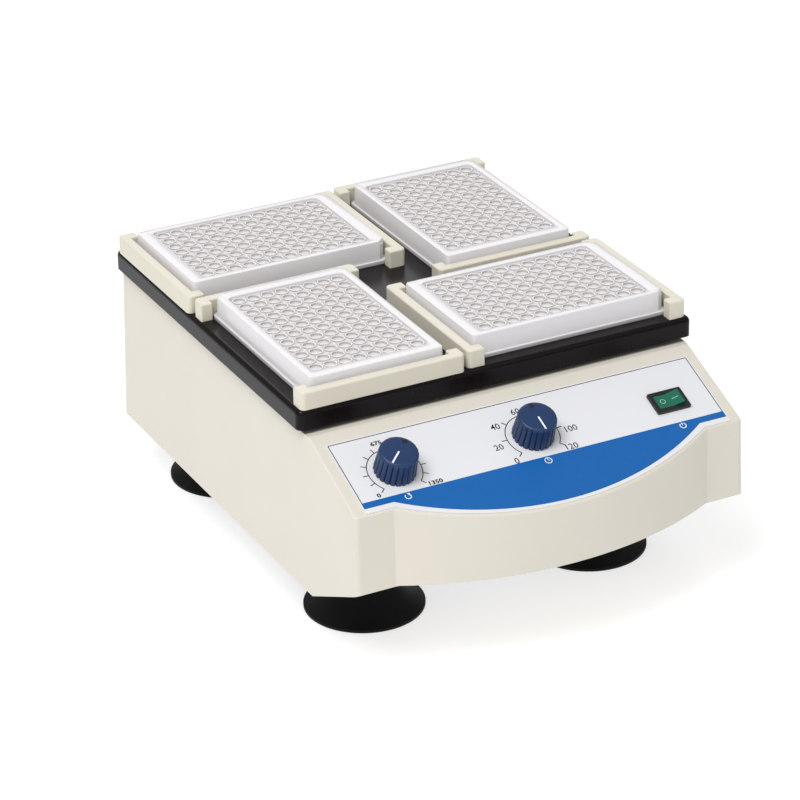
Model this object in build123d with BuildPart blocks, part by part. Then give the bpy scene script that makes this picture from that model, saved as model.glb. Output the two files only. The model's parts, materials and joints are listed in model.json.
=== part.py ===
from build123d import *
import os
from math import atan, atan2, cos, degrees, radians, sin, sqrt, tan

os.makedirs("parts", exist_ok=True)

# Benchtop orbital shaker for four microplates. Millimetres, +Z up, the front is at -Y.
# The origin is on the table, under the middle of the outer box.

# Moulded body
deck_width = 242.8  # across the flat top deck
foot_gap = 36.6  # table to the underside of the body
body_height = 95.8  # underside to deck
wall = 3.0
draft_angle = 1.72  # degrees that every upright wall leans in
corner_radius = 4.5
rear_reach = 128.9  # platform centre to the foot of the rear wall
panel_reach = 128.4  # platform centre to the top edge of the panel
panel_angle = 22.2  # degrees, sloping control panel
panel_run = 83.7  # nose to the top edge of the panel, in plan
chin_setback = 77.9  # nose to where the underside starts to rise
chin_run = 54.2
chin_rise = 26.0
bow_margin = 22.1  # edge of the deck to the end of the bow
bow_depth = 24.5
edge_round = 1.2

# Underside
base_thickness = 2.0
base_clearance = 0.3
ledge_thickness = 3.0
ledge_width = 11.0
boss_radius = 4.5
boss_height = 10.0

# Feet
foot_radius = 35.2
foot_side_inset = 50.5  # side of the body to a foot's centre
foot_front_inset = 37.2  # start of the chin to the front pair
foot_rear_inset = 39.9  # rear wall to the rear pair
foot_rim = 1.6
foot_seat_width = 5.0
foot_neck_radius = 12.0
foot_neck_length = 9.0
bell_radius = 21.0  # where the bell starts to flare
bell_height = 11.6
cup_depth = 9.0
cup_radius = 18.7
cup_rise = 6.5  # depth of the cup at that radius
stud_radius = 3.0
stud_length = 34.0
stud_drop = 23.0  # underside of the body to the lower end of a stud
foot_nut_radius = 5.8
foot_nut_height = 5.0

# Orbit drive
orbit_radius = 2.0
platform_gap = 2.95  # deck to the lower edge of the platform skirt
running_fit = 0.04  # radial clearance of a shaft in its bearing
seat_fit = 0.02  # radial clearance of a bearing in its seat
end_play = 0.3  # clearance at the blind end of a shaft or a screw
chassis_thickness = 4.0
chassis_size = 204.0
chassis_corner = 12.0
shaft_radius = 7.5
shaft_hole_radius = 15.0
bearing_radius = 17.5
bearing_height = 11.0
bearing_chamfer = 0.4
bearing_housing_radius = 24.0
bearing_housing_length = 39.4
bearing_flange_radius = 36.0
bearing_flange_thickness = 6.0
crank_disc_radius = 18.0
crank_disc_thickness = 3.5
disc_lift = 2.5  # deck to the underside of every crank disc
crank_pin_radius = 5.0
crank_pin_gap = 0.6  # top of every crank pin to the tray
hub_radius = 22.0
hub_bearing_radius = 13.0
hub_lift = 0.6  # crank disc to hub
idler_half_spacing = 82.0
idler_shaft_radius = 4.0
idler_sleeve_radius = 8.0
idler_sleeve_length = 22.0
idler_flange_radius = 12.0
idler_flange_thickness = 1.8
idler_disc_radius = 9.0
idler_disc_thickness = 2.5
idler_pin_radius = 3.0
bush_radius = 7.0

# Belt drive
pulley_radius = 40.0
pulley_width = 14.0
pulley_flange = 1.8
pulley_flange_height = 2.0
motor_pulley_radius = 12.0
belt_thickness = 1.5
belt_clearance = 0.1
side_clearance = 0.2
counterweight_thickness = 6.0
counterweight_radius = 38.0
stack_gap = 1.0  # between pulley, counterweight and bearing housing
motor_offset_x = 60.0
motor_offset_y = 44.0
motor_radius = 32.0
motor_height = 37.4
motor_wall = 3.0
motor_shaft_radius = 3.0
stator_thickness = 9.0
air_gap = 0.5
rotor_length = 22.0
rotor_stub = 2.0  # shaft above the rotor
motor_screw_spacing = 38.4

# Platform
platform_margin = 1.37  # outer face of a bracket to the edge of the platform
platform_depth = 11.8
platform_sheet = 1.5
platform_edge = 3.0
platform_corner = 4.0
tray_inner_corner = 1.0

# Microplate: the standard footprint and pitch
plate_length = 127.76
plate_width = 85.48
plate_height = 14.35
well_pitch = 9.0
plate_columns = 12
plate_rows = 8
well_radius = 3.45
well_wall = 0.65
well_depth = 10.9
well_floor = 1.0
plate_flange_height = 2.4
plate_flange_inset = 1.0
plate_wall = 1.5
plate_corner = 3.6
deck_drop = 1.3  # rim of the plate to its well deck
plate_deck = 1.2
well_lip = 0.5  # each well stands this far above the deck
well_margin = 0.5  # sunk deck past the outer wells' pitch squares
nest_overreach = 17.53  # how far a bracket's outer face passes the middle of the platform
nest_gap = 2.63  # between that face and the lugs of the next plate
nest_shift_x = -1.3
nest_shift_y = -1.0

# Plate brackets
bracket_bar = 6.0
bracket_height = 10.6
bracket_end_gap = 0.95
bracket_side_gap = 0.7
bracket_lug = 7.4
bracket_reach = 10.8  # outer face to the tip of a lug
bracket_corner = 3.0
bracket_round = 0.9
bracket_screw_radius = 1.5
bracket_screw_head_radius = 2.5
bracket_screw_length = 7.5
bracket_screw_inset = 5.8  # outer face to a screw, which stands in the lug

# Control panel
label_margin = 6.4  # edge of the deck to the side of the label
label_top = 8.6
label_foot = 61.0
label_bow = 26.3
label_bow_inset = 1.3  # end of the body's bow to the end of the label's
label_thickness = 0.4
speed_inset = 29.0  # side of the label to the speed knob
timer_x = 0.0
knob_down = 36.8  # top edge of the panel down to the knob centres
knob_radius = 12.1
knob_top_radius = 11.1
knob_height = 15.2
knob_edge = 1.2
knob_lift = 0.8
knob_flutes = 20
flute_radius = 1.0
flute_shift = 0.35  # flute centres outside the knob's foot circle
flute_stop = 2.2  # top of the knob to the end of a flute
knob_recess_radius = 8.4
knob_recess_depth = 5.0
knob_bore_depth = 11.5
control_shaft_radius = 3.0
bush_outer_radius = 4.7
panel_hole_radius = 4.9
bush_height = 3.6
nut_radius = 7.4
nut_height = 1.8
pot_radius = 12.0
pot_depth = 16.0
timer_box = 38.0
timer_depth = 30.0

# Rocker switch
switch_inset = 27.8  # side of the label to the switch
switch_down = 37.6
bezel_length = 21.4
bezel_width = 15.0
bezel_height = 1.8
bezel_round = 0.8
switch_length = 19.2
switch_width = 12.9
switch_depth = 21.0
switch_hole_gap = 0.15
rocker_well_length = 16.4
rocker_well_width = 10.4
rocker_well_depth = 8.0
rocker_length = 15.4
rocker_width = 9.6
rocker_tilt = 8.0
rocker_rise = 2.6
rocker_dip = 1.4
rocker_pivot_drop = 1.2
rocker_pin_radius = 1.0
rocker_belly = 3.2
rocker_pin_wall = 0.6  # switch wall left outside each pin's hole
rocker_pin_gap = 0.2

# Mains inlet in the rear wall
inlet_inset = 62.3  # side of the body to the inlet's centre
inlet_z = 74.0
inlet_flange_width = 32.0
inlet_flange_height = 50.0
inlet_flange_thickness = 1.8
inlet_body_width = 27.4
inlet_body_height = 45.0
inlet_depth = 26.0
inlet_seat_depth = 3.2
inlet_pad = 3.0
inlet_gap = 0.3
inlet_corner = 2.0
socket_width = 24.2
socket_height = 16.6
socket_depth = 16.0
socket_rise = 9.5  # inlet centre up to the socket centre
socket_chamfer = 4.0
pin_length = 11.0
blade_width = 2.0
blade_height = 4.0
blade_spacing = 14.0
blade_rise = 1.0  # socket centre up to the outer blades
earth_rise = 4.5
drawer_width = 22.0
drawer_height = 12.0
drawer_depth = 20.0
drawer_drop = 12.5
drawer_gap = 0.3
fuse_radius = 2.5
fuse_length = 16.0
fuse_pitch = 6.0
fuse_fit = 0.05
fuse_bay = 12.0
fuse_bay_gap = 0.5  # at each end of the fuses

# Electronics on the base
board_length = 92.0
board_width = 64.0
board_thickness = 1.6
board_gap = 2.3  # ledge to the board
board_reach = 22.0  # platform centre forward to the board's centre
standoff_height = 7.0
standoff_radius = 3.0
board_inset = 5.0
board_corner = 2.0
heatsink_size = (16.0, 36.0, 18.0)
connector_size = (8.0, 40.0, 10.0)
small_can_radius = 6.0
small_can_height = 16.0
large_can_radius = 8.0
large_can_height = 16.0
transformer_length = 56.0
transformer_width = 44.0
transformer_height = 24.0
transformer_gap = 3.3  # ledge to the transformer's foot
transformer_reach = 44.0  # platform centre back to the transformer
transformer_foot_length = 82.0
transformer_foot_width = 22.0
transformer_foot_height = 2.0
transformer_screw_reach = 7.0  # past each end of the transformer
vent_length = 30.0
vent_width = 3.0
vent_pitch = 8.0
vent_count = 7
screw_radius = 1.5
screw_head_radius = 3.0
screw_head_height = 1.8
screw_length = 10.0

# Levels and places worked out from the sizes above
body_length = rear_reach + panel_reach + panel_run
deck_z = foot_gap + body_height
front_foot_z = foot_gap + chin_rise
lean = tan(radians(draft_angle))
slope = tan(radians(panel_angle))
rear_y = body_length / 2
nose_y = -body_length / 2
axis_y = rear_y - rear_reach
crank_y = axis_y - orbit_radius
panel_top_y = nose_y + panel_run
chin_y = nose_y + chin_setback
foot_half_width = deck_width / 2 + lean * body_height
bow_half_width = deck_width / 2 - bow_margin
label_half_width = deck_width / 2 - label_margin
label_bow_half_width = bow_half_width - label_bow_inset
speed_x = speed_inset - label_half_width
switch_x = label_half_width - switch_inset
inlet_x = inlet_inset - foot_half_width
opening_half_x = foot_half_width - wall - ledge_width
board_x = board_gap + board_length / 2 - opening_half_x
transformer_x = transformer_gap + transformer_foot_length / 2 - opening_half_x
nest_length = plate_length / 2 + bracket_end_gap + bracket_bar
nest_width = plate_width / 2 + bracket_side_gap + bracket_lug
nest_near = nest_length - nest_overreach  # platform middle to a plate's centre, along it
nest_far = nest_overreach + nest_gap + nest_width
platform_size = 2 * (nest_near + nest_length + platform_margin)
flat_y = nose_y + bow_depth - lean * chin_rise  # front flats, at the level of the underside
chassis_z = deck_z - wall - chassis_thickness
skirt_z = deck_z + platform_gap
tray_top_z = skirt_z + platform_depth
tray_under_z = tray_top_z - platform_sheet
housing_foot_z = chassis_z - bearing_housing_length
counterweight_z = housing_foot_z - stack_gap - counterweight_thickness
pulley_z = counterweight_z - stack_gap - pulley_width
shaft_foot_z = pulley_z - stack_gap
disc_z = deck_z + disc_lift
hub_z = disc_z + crank_disc_thickness + hub_lift
motor_x = motor_offset_x
motor_y = crank_y + motor_offset_y
motor_foot_z = chassis_z - motor_height
ledge_z = foot_gap + base_thickness + ledge_thickness
base_top_z = foot_gap + base_thickness
far = 20.0  # how far a cutting form runs past the body

panel = Plane(
    origin=(0, panel_top_y, deck_z),
    x_dir=(1, 0, 0),
    z_dir=(0, -sin(radians(panel_angle)), cos(radians(panel_angle))),
)


def on_panel(x, down, height=0.0):
    """The panel's plane, moved to a point on it and raised by a height."""
    return Plane(
        origin=panel.from_local_coords((x, -down, height)),
        x_dir=panel.x_dir,
        z_dir=panel.z_dir,
    )


def save(name, part):
    """Label one finished piece and write it to its own file."""
    part.label = name
    export_step(part, "parts/" + name + ".step")


def bow_outline(inset):
    """Plan of the body at its foot: a rounded box with a bowed front."""
    half = foot_half_width - inset
    front = flat_y + inset
    nose = (0, flat_y - bow_depth + inset)
    with BuildSketch(Plane.XY.offset(foot_gap)) as outline:
        with BuildLine():
            Polyline(
                (bow_half_width, front),
                (half, front),
                (half, rear_y - inset),
                (-half, rear_y - inset),
                (-half, front),
                (-bow_half_width, front),
            )
            ThreePointArc((-bow_half_width, front), nose, (bow_half_width, front))
        make_face()
        square = outline.vertices().filter_by(lambda v: abs(abs(v.X) - half) < 0.01)
        fillet(square, corner_radius - inset)
    return outline.sketch


def chin_offset(z, inset):
    """Y of the rising underside at a height, moved in by the wall."""
    chin_angle = atan(chin_rise / chin_run)
    return chin_y + inset / sin(chin_angle) - (z - foot_gap) / tan(chin_angle)


def side_outline(low, front_low, inset):
    """Side view of the body: flat underside, rising chin, sloping panel, flat deck."""
    front = nose_y - far
    back = rear_y + far
    top = deck_z - inset
    drop = inset / cos(radians(panel_angle))
    with BuildSketch(Plane.YZ) as outline:
        with BuildLine():
            Polyline(
                (back, low),
                (chin_offset(low, inset), low),
                (chin_offset(front_low, inset), front_low),
                (front, front_low),
                (front, deck_z - drop - slope * (panel_top_y - front)),
                (panel_top_y + (drop - inset) / slope, top),
                (back, top),
                close=True,
            )
        make_face()
    return outline.sketch


# Moulded body
boss_half_x = foot_half_width - wall - ledge_width / 2 - 1.0
boss_rear_y = rear_y - wall - ledge_width / 2 - 1.0
boss_front_y = chin_y + ledge_width / 2 + 1.0
boss_places = [
    (side * boss_half_x, boss_front_y + share * (boss_rear_y - boss_front_y))
    for side in (-1, 1)
    for share in (0.03, 0.5, 0.97)
]
idler_places = [
    (side * idler_half_spacing, crank_y + end * idler_half_spacing)
    for side in (-1, 1)
    for end in (-1, 1)
]
chassis_screw_reach = chassis_size / 2 - chassis_corner
chassis_screw_places = [
    (-chassis_screw_reach, crank_y),
    (chassis_screw_reach, crank_y),
    (0, crank_y - chassis_screw_reach),
    (0, crank_y + chassis_screw_reach),
]
opening_front_y = chin_y + ledge_width
opening_rear_y = rear_y - wall - ledge_width
inlet_seat_y = rear_y - inlet_seat_depth

body_plan = bow_outline(0)
body_side = side_outline(foot_gap, front_foot_z, 0)
void_plan = bow_outline(wall)
void_side = side_outline(ledge_z, front_foot_z + wall, wall)

with BuildPart() as housing_void:
    extrude(void_plan, amount=body_height, taper=draft_angle)
    extrude(void_side, amount=deck_width, both=True, mode=Mode.INTERSECT)

with BuildPart() as housing_shell:
    extrude(body_plan, amount=body_height, taper=draft_angle)
    extrude(body_side, amount=deck_width, both=True, mode=Mode.INTERSECT)
    panel_face = housing_shell.faces().filter_by(
        lambda f: abs(f.normal_at().dot(panel.z_dir)) > 0.999
    )
    fillet(panel_face.edges(), edge_round)
    add(housing_void.part, mode=Mode.SUBTRACT)
    # opening that the base plate closes, with a rebate for it in the ledge
    with BuildSketch(Plane.XY.offset(foot_gap)):
        with Locations((0, (opening_front_y + opening_rear_y) / 2)):
            Rectangle(2 * opening_half_x, opening_rear_y - opening_front_y)
    extrude(amount=ledge_z - foot_gap, mode=Mode.SUBTRACT)
    with BuildSketch(Plane.XY.offset(foot_gap)):
        with Locations((0, (chin_y + rear_y - wall) / 2)):
            RectangleRounded(
                2 * (foot_half_width - wall), rear_y - wall - chin_y, corner_radius - wall
            )
    extrude(amount=base_thickness, mode=Mode.SUBTRACT)
    # screw bosses on the ledge
    with BuildSketch(Plane.XY.offset(base_top_z)):
        with Locations(*boss_places):
            Circle(boss_radius)
    extrude(amount=ledge_thickness + boss_height)
    with BuildSketch(Plane.XY.offset(base_top_z)):
        with Locations(*boss_places):
            Circle(screw_radius + running_fit)
    extrude(amount=screw_length, mode=Mode.SUBTRACT)
    # holes in the deck
    with BuildSketch(Plane.XY.offset(deck_z)):
        with Locations((0, crank_y)):
            Circle(shaft_hole_radius)
        with Locations(*idler_places):
            Circle(idler_sleeve_radius + running_fit)
        with Locations(*chassis_screw_places):
            Circle(screw_radius + running_fit)
    extrude(amount=-wall, mode=Mode.SUBTRACT)
    # holes in the panel
    with BuildSketch(panel):
        with Locations((speed_x, -knob_down), (timer_x, -knob_down)):
            Circle(panel_hole_radius)
        with Locations((switch_x, -switch_down)):
            Rectangle(switch_length + 2 * switch_hole_gap, switch_width + 2 * switch_hole_gap)
    extrude(amount=wall + edge_round, both=True, mode=Mode.SUBTRACT)
    # seat of the mains inlet: a pad inside, a flat recess outside
    with BuildSketch(Plane.XZ.offset(-inlet_seat_y)):
        with Locations((inlet_x, inlet_z)):
            Rectangle(inlet_flange_width + 2 * wall, inlet_flange_height + 2 * wall)
    extrude(amount=inlet_pad)
    with BuildSketch(Plane.XZ.offset(-inlet_seat_y)):
        with Locations((inlet_x, inlet_z)):
            Rectangle(inlet_flange_width + 2 * inlet_gap, inlet_flange_height + 2 * inlet_gap)
    extrude(amount=-inlet_seat_depth, mode=Mode.SUBTRACT)
    with BuildSketch(Plane.XZ.offset(-inlet_seat_y)):
        with Locations((inlet_x, inlet_z)):
            Rectangle(inlet_body_width + 2 * inlet_gap, inlet_body_height + 2 * inlet_gap)
    extrude(amount=inlet_pad, mode=Mode.SUBTRACT)
save("housing_shell", housing_shell.part)

# Base plate with vents
board_y = axis_y - board_reach
board_posts = [
    (
        board_x + side * (board_length / 2 - board_inset),
        board_y + end * (board_width / 2 - board_inset),
    )
    for side in (-1, 1)
    for end in (-1, 1)
]
foot_places = [
    (side * (foot_half_width - foot_side_inset), y)
    for side in (-1, 1)
    for y in (chin_y + foot_front_inset, rear_y - foot_rear_inset)
]
transformer_y = axis_y + transformer_reach
transformer_screws = [
    (transformer_x + side * (transformer_length / 2 + transformer_screw_reach), transformer_y)
    for side in (-1, 1)
]
with BuildPart() as base_plate:
    with BuildSketch(Plane.XY.offset(foot_gap)):
        with Locations((0, (chin_y + rear_y - wall) / 2)):
            RectangleRounded(
                2 * (foot_half_width - wall - base_clearance),
                rear_y - wall - chin_y - 2 * base_clearance,
                corner_radius - wall,
            )
        with Locations(*foot_places):
            Circle(stud_radius + running_fit, mode=Mode.SUBTRACT)
        with Locations(*boss_places, *board_posts, *transformer_screws):
            Circle(screw_radius + running_fit, mode=Mode.SUBTRACT)
        with Locations((0, axis_y + rear_reach / 2)):
            with GridLocations(0, vent_pitch, 1, vent_count):
                SlotOverall(vent_length, vent_width, mode=Mode.SUBTRACT)
    extrude(amount=base_thickness)
save("base_plate", base_plate.part)

with BuildPart() as base_screws:
    with BuildSketch(Plane.XY.offset(foot_gap)):
        with Locations(*boss_places):
            Circle(screw_head_radius)
    extrude(amount=-screw_head_height)
    with BuildSketch(Plane.XY.offset(foot_gap)):
        with Locations(*boss_places):
            Circle(screw_radius)
    extrude(amount=screw_length)
save("base_screws", base_screws.part)

# Suction feet with their studs and nuts
def suction_foot(place):
    """A rubber bell with a hollow underside and a neck under the base plate."""
    seat = foot_radius - foot_seat_width
    shoulder_z = foot_gap - foot_neck_length
    with BuildPart() as foot:
        with BuildSketch(Plane.XZ):
            with BuildLine():
                Polyline(
                    (stud_radius + seat_fit, cup_depth),
                    (stud_radius + seat_fit, foot_gap),
                    (foot_neck_radius, foot_gap),
                    (foot_neck_radius, shoulder_z),
                )
                bell = ThreePointArc(
                    (foot_neck_radius, shoulder_z),
                    (bell_radius, bell_height),
                    (foot_radius, foot_rim),
                )
                Polyline(bell @ 1, (foot_radius, 0), (seat, 0))
                ThreePointArc(
                    (seat, 0), (cup_radius, cup_rise), (stud_radius + seat_fit, cup_depth)
                )
            make_face()
        revolve(axis=Axis.Z)
    return foot.part.moved(Location((place[0], place[1], 0)))


with BuildPart() as suction_feet:
    for place in foot_places:
        add(suction_foot(place))
save("suction_feet", suction_feet.part)

with BuildPart() as foot_studs:
    with BuildSketch(Plane.XY.offset(foot_gap - stud_drop)):
        with Locations(*foot_places):
            Circle(stud_radius)
    extrude(amount=stud_length)
save("foot_studs", foot_studs.part)

with BuildPart() as foot_nuts:
    with BuildSketch(Plane.XY.offset(base_top_z)):
        with Locations(*foot_places):
            RegularPolygon(foot_nut_radius, 6)
            Circle(stud_radius + seat_fit, mode=Mode.SUBTRACT)
    extrude(amount=foot_nut_height)
save("foot_nuts", foot_nuts.part)

# Drive chassis under the deck
motor_screw_places = [
    (motor_x + side * motor_screw_spacing / 2, motor_y + end * motor_screw_spacing / 2)
    for side in (-1, 1)
    for end in (-1, 1)
]
flange_screw_offset = (bearing_flange_radius + bearing_housing_radius) / 2 / sqrt(2)
flange_screw_places = [
    (side * flange_screw_offset, crank_y + end * flange_screw_offset)
    for side in (-1, 1)
    for end in (-1, 1)
]
with BuildPart() as chassis_plate:
    with BuildSketch(Plane.XY.offset(chassis_z)):
        with Locations((0, crank_y)):
            RectangleRounded(chassis_size, chassis_size, chassis_corner)
            Circle(shaft_hole_radius, mode=Mode.SUBTRACT)
        with Locations(*idler_places):
            Circle(idler_sleeve_radius + running_fit, mode=Mode.SUBTRACT)
        with Locations(*chassis_screw_places, *flange_screw_places, *motor_screw_places):
            Circle(screw_radius + running_fit, mode=Mode.SUBTRACT)
    extrude(amount=chassis_thickness)
    with Locations(Plane.XY.offset(chassis_z + chassis_thickness)):
        with Locations(*flange_screw_places, *motor_screw_places):
            CounterSinkHole(screw_radius + running_fit, screw_head_radius, chassis_thickness)
save("chassis_plate", chassis_plate.part)

with BuildPart() as chassis_screws:
    with BuildSketch(Plane.XY.offset(deck_z)):
        with Locations(*chassis_screw_places):
            Circle(screw_head_radius)
    extrude(amount=screw_head_height)
    with BuildSketch(Plane.XY.offset(deck_z)):
        with Locations(*chassis_screw_places):
            Circle(screw_radius)
    extrude(amount=-(wall + chassis_thickness))
save("chassis_screws", chassis_screws.part)


def countersunk_screws(places, length):
    """Flat-headed screws whose heads are flush with the top of the chassis."""
    head = screw_head_radius - 2 * running_fit
    with BuildPart() as screws:
        with Locations(*[(x, y, chassis_z + chassis_thickness) for x, y in places]):
            Cone(
                screw_radius,
                head,
                head - screw_radius,
                align=(Align.CENTER, Align.CENTER, Align.MAX),
            )
            Cylinder(screw_radius, length, align=(Align.CENTER, Align.CENTER, Align.MAX))
    return screws.part


with BuildPart() as drive_screws:
    add(countersunk_screws(flange_screw_places, screw_length))
    add(countersunk_screws(motor_screw_places, chassis_thickness + motor_wall))
save("drive_screws", drive_screws.part)

with BuildPart() as bearing_housing:
    with BuildSketch(Plane.XY.offset(chassis_z)):
        with Locations((0, crank_y)):
            Circle(bearing_flange_radius)
        with Locations(*flange_screw_places):
            Circle(screw_radius + running_fit, mode=Mode.SUBTRACT)
    extrude(amount=-bearing_flange_thickness)
    with BuildSketch(Plane.XY.offset(chassis_z)):
        with Locations((0, crank_y)):
            Circle(bearing_housing_radius)
    extrude(amount=-bearing_housing_length)
    with BuildSketch(Plane.XY.offset(chassis_z)):
        with Locations((0, crank_y)):
            Circle(bearing_radius + seat_fit)
    extrude(amount=-bearing_housing_length, mode=Mode.SUBTRACT)
save("bearing_housing", bearing_housing.part)


def ball_bearing(z, bore, outer, height, y):
    """A shielded bearing as one plain ring."""
    with BuildPart() as bearing:
        with BuildSketch(Plane.XY.offset(z)):
            with Locations((0, y)):
                Circle(outer)
                Circle(bore + running_fit, mode=Mode.SUBTRACT)
        extrude(amount=height)
        chamfer(bearing.edges().filter_by(GeomType.CIRCLE), bearing_chamfer)
    return bearing.part


with BuildPart() as main_bearings:
    for z in (housing_foot_z, chassis_z - bearing_height):
        add(ball_bearing(z, shaft_radius, bearing_radius, bearing_height, crank_y))
save("main_bearings", main_bearings.part)

# Crankshaft, its pulley and its counterweight
pin_y = crank_y + orbit_radius
pin_top_z = tray_under_z - crank_pin_gap
with BuildPart() as crankshaft:
    with BuildSketch(Plane.XY.offset(shaft_foot_z)):
        with Locations((0, crank_y)):
            Circle(shaft_radius)
    extrude(amount=disc_z - shaft_foot_z)
    with BuildSketch(Plane.XY.offset(disc_z)):
        with Locations((0, crank_y)):
            Circle(crank_disc_radius)
    extrude(amount=crank_disc_thickness)
    with BuildSketch(Plane.XY.offset(disc_z + crank_disc_thickness)):
        with Locations((0, pin_y)):
            Circle(crank_pin_radius)
    extrude(amount=pin_top_z - disc_z - crank_disc_thickness)
save("crankshaft", crankshaft.part)


def flanged_pulley(radius, bore, x, y):
    """A belt pulley with a rim each side."""
    with BuildPart() as pulley:
        with BuildSketch(Plane.XY.offset(pulley_z)):
            with Locations((x, y)):
                Circle(radius)
        extrude(amount=pulley_width)
        for z in (pulley_z, pulley_z + pulley_width - pulley_flange):
            with BuildSketch(Plane.XY.offset(z)):
                with Locations((x, y)):
                    Circle(radius + pulley_flange_height)
            extrude(amount=pulley_flange)
        with BuildSketch(Plane.XY.offset(pulley_z)):
            with Locations((x, y)):
                Circle(bore + seat_fit)
        extrude(amount=pulley_width, mode=Mode.SUBTRACT)
    return pulley.part


save("drive_pulley", flanged_pulley(pulley_radius, shaft_radius, 0, crank_y))
save("motor_pulley", flanged_pulley(motor_pulley_radius, motor_shaft_radius, motor_x, motor_y))

with BuildPart() as counterweight:
    with BuildSketch(Plane.XY.offset(counterweight_z)):
        with Locations((0, crank_y)):
            Circle(counterweight_radius)
            with Locations((0, counterweight_radius / 2 + 2 * shaft_radius)):
                Rectangle(
                    2 * counterweight_radius,
                    counterweight_radius + 2 * shaft_radius,
                    mode=Mode.SUBTRACT,
                )
            Circle(shaft_radius * 2)
            Circle(shaft_radius + seat_fit, mode=Mode.SUBTRACT)
    extrude(amount=counterweight_thickness)
save("counterweight", counterweight.part)

# Belt round both pulleys
belt_z = pulley_z + pulley_flange + side_clearance
belt_width = pulley_width - 2 * pulley_flange - 2 * side_clearance


def belt_loop(gap):
    """Closed belt line round the two pulleys, a gap outside them."""
    with BuildSketch(Plane.XY.offset(belt_z)) as loop:
        with BuildLine():
            CenterArc((0, crank_y), pulley_radius + gap, 0, 360)
            CenterArc((motor_x, motor_y), motor_pulley_radius + gap, 0, 360)
        make_hull()
    return loop.sketch


belt_outside = belt_loop(belt_clearance + belt_thickness)
belt_inside = belt_loop(belt_clearance)
with BuildPart() as drive_belt:
    extrude(belt_outside, amount=belt_width)
    extrude(belt_inside, amount=belt_width, mode=Mode.SUBTRACT)
save("drive_belt", drive_belt.part)

# Motor
stator_radius = motor_radius - motor_wall - seat_fit
rotor_radius = stator_radius - stator_thickness - air_gap
rotor_z = motor_foot_z + (motor_height - rotor_length) / 2
with BuildPart() as motor_can:
    with BuildSketch(Plane.XY.offset(motor_foot_z)):
        with Locations((motor_x, motor_y)):
            Circle(motor_radius)
    extrude(amount=motor_height)
    with BuildSketch(Plane.XY.offset(motor_foot_z + motor_wall)):
        with Locations((motor_x, motor_y)):
            Circle(motor_radius - motor_wall)
    extrude(amount=motor_height - 2 * motor_wall, mode=Mode.SUBTRACT)
    with BuildSketch(Plane.XY.offset(motor_foot_z)):
        with Locations((motor_x, motor_y)):
            Circle(motor_shaft_radius + running_fit)
    extrude(amount=motor_wall, mode=Mode.SUBTRACT)
    with BuildSketch(Plane.XY.offset(chassis_z)):
        with Locations(*motor_screw_places):
            Circle(screw_radius + running_fit)
    extrude(amount=-motor_wall, mode=Mode.SUBTRACT)
save("motor_can", motor_can.part)

with BuildPart() as motor_stator:
    with BuildSketch(Plane.XY.offset(rotor_z)):
        with Locations((motor_x, motor_y)):
            Circle(stator_radius)
            Circle(rotor_radius + air_gap, mode=Mode.SUBTRACT)
    extrude(amount=rotor_length)
save("motor_stator", motor_stator.part)

with BuildPart() as motor_rotor:
    with BuildSketch(Plane.XY.offset(rotor_z)):
        with Locations((motor_x, motor_y)):
            Circle(rotor_radius)
    extrude(amount=rotor_length)
    with BuildSketch(Plane.XY.offset(shaft_foot_z)):
        with Locations((motor_x, motor_y)):
            Circle(motor_shaft_radius)
    extrude(amount=rotor_z + rotor_length + rotor_stub - shaft_foot_z)
save("motor_rotor", motor_rotor.part)

# Idler cranks that keep the platform square to the body
with BuildPart() as idler_sleeves:
    with BuildSketch(Plane.XY.offset(deck_z)):
        with Locations(*idler_places):
            Circle(idler_flange_radius)
    extrude(amount=idler_flange_thickness)
    with BuildSketch(Plane.XY.offset(deck_z)):
        with Locations(*idler_places):
            Circle(idler_sleeve_radius)
    extrude(amount=-idler_sleeve_length)
    with BuildSketch(Plane.XY.offset(deck_z + idler_flange_thickness)):
        with Locations(*idler_places):
            Circle(idler_shaft_radius + running_fit)
    extrude(amount=-(idler_sleeve_length + idler_flange_thickness), mode=Mode.SUBTRACT)
save("idler_sleeves", idler_sleeves.part)


def idler_crank(place):
    """A small crank: journal, disc and a pin offset by the orbit."""
    with BuildPart() as crank:
        with BuildSketch(Plane.XY.offset(deck_z - idler_sleeve_length)):
            with Locations(place):
                Circle(idler_shaft_radius)
        extrude(amount=idler_sleeve_length + disc_lift)
        with BuildSketch(Plane.XY.offset(disc_z)):
            with Locations(place):
                Circle(idler_disc_radius)
        extrude(amount=idler_disc_thickness)
        with BuildSketch(Plane.XY.offset(disc_z + idler_disc_thickness)):
            with Locations((place[0], place[1] + orbit_radius)):
                Circle(idler_pin_radius)
        extrude(amount=pin_top_z - disc_z - idler_disc_thickness)
    return crank.part


idler_names = ["idler_front_left", "idler_rear_left", "idler_front_right", "idler_rear_right"]
for name, place in zip(idler_names, idler_places):
    save(name, idler_crank(place))

# Platform: a black sheet tray, upside down, with hub and bushes under it
bush_places = [(x, y + orbit_radius) for x, y in idler_places]
bush_z = disc_z + idler_disc_thickness + hub_lift


def plate_centres():
    """Centre and turn of each plate in the pinwheel, in the body's frame."""
    x0 = nest_shift_x
    y0 = axis_y + nest_shift_y
    return {
        "rear_left": (x0 - nest_near, y0 + nest_far, 0),
        "rear_right": (x0 + nest_far, y0 + nest_near, 90),
        "front_left": (x0 - nest_far, y0 - nest_near, 90),
        "front_right": (x0 + nest_near, y0 - nest_far, 0),
    }


bracket_screw_x = nest_length - bracket_screw_inset
bracket_screw_y = nest_width - bracket_lug / 2


def bracket_screw_points(centre):
    """Screw places under the lugs of a plate's two brackets, in the body's frame."""
    x, y, turn = centre
    points = []
    for end in (-1, 1):
        for side in (-1, 1):
            away = Vector(end * bracket_screw_x, side * bracket_screw_y).rotate(Axis.Z, turn)
            points.append((x + away.X, y + away.Y))
    return points


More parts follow.
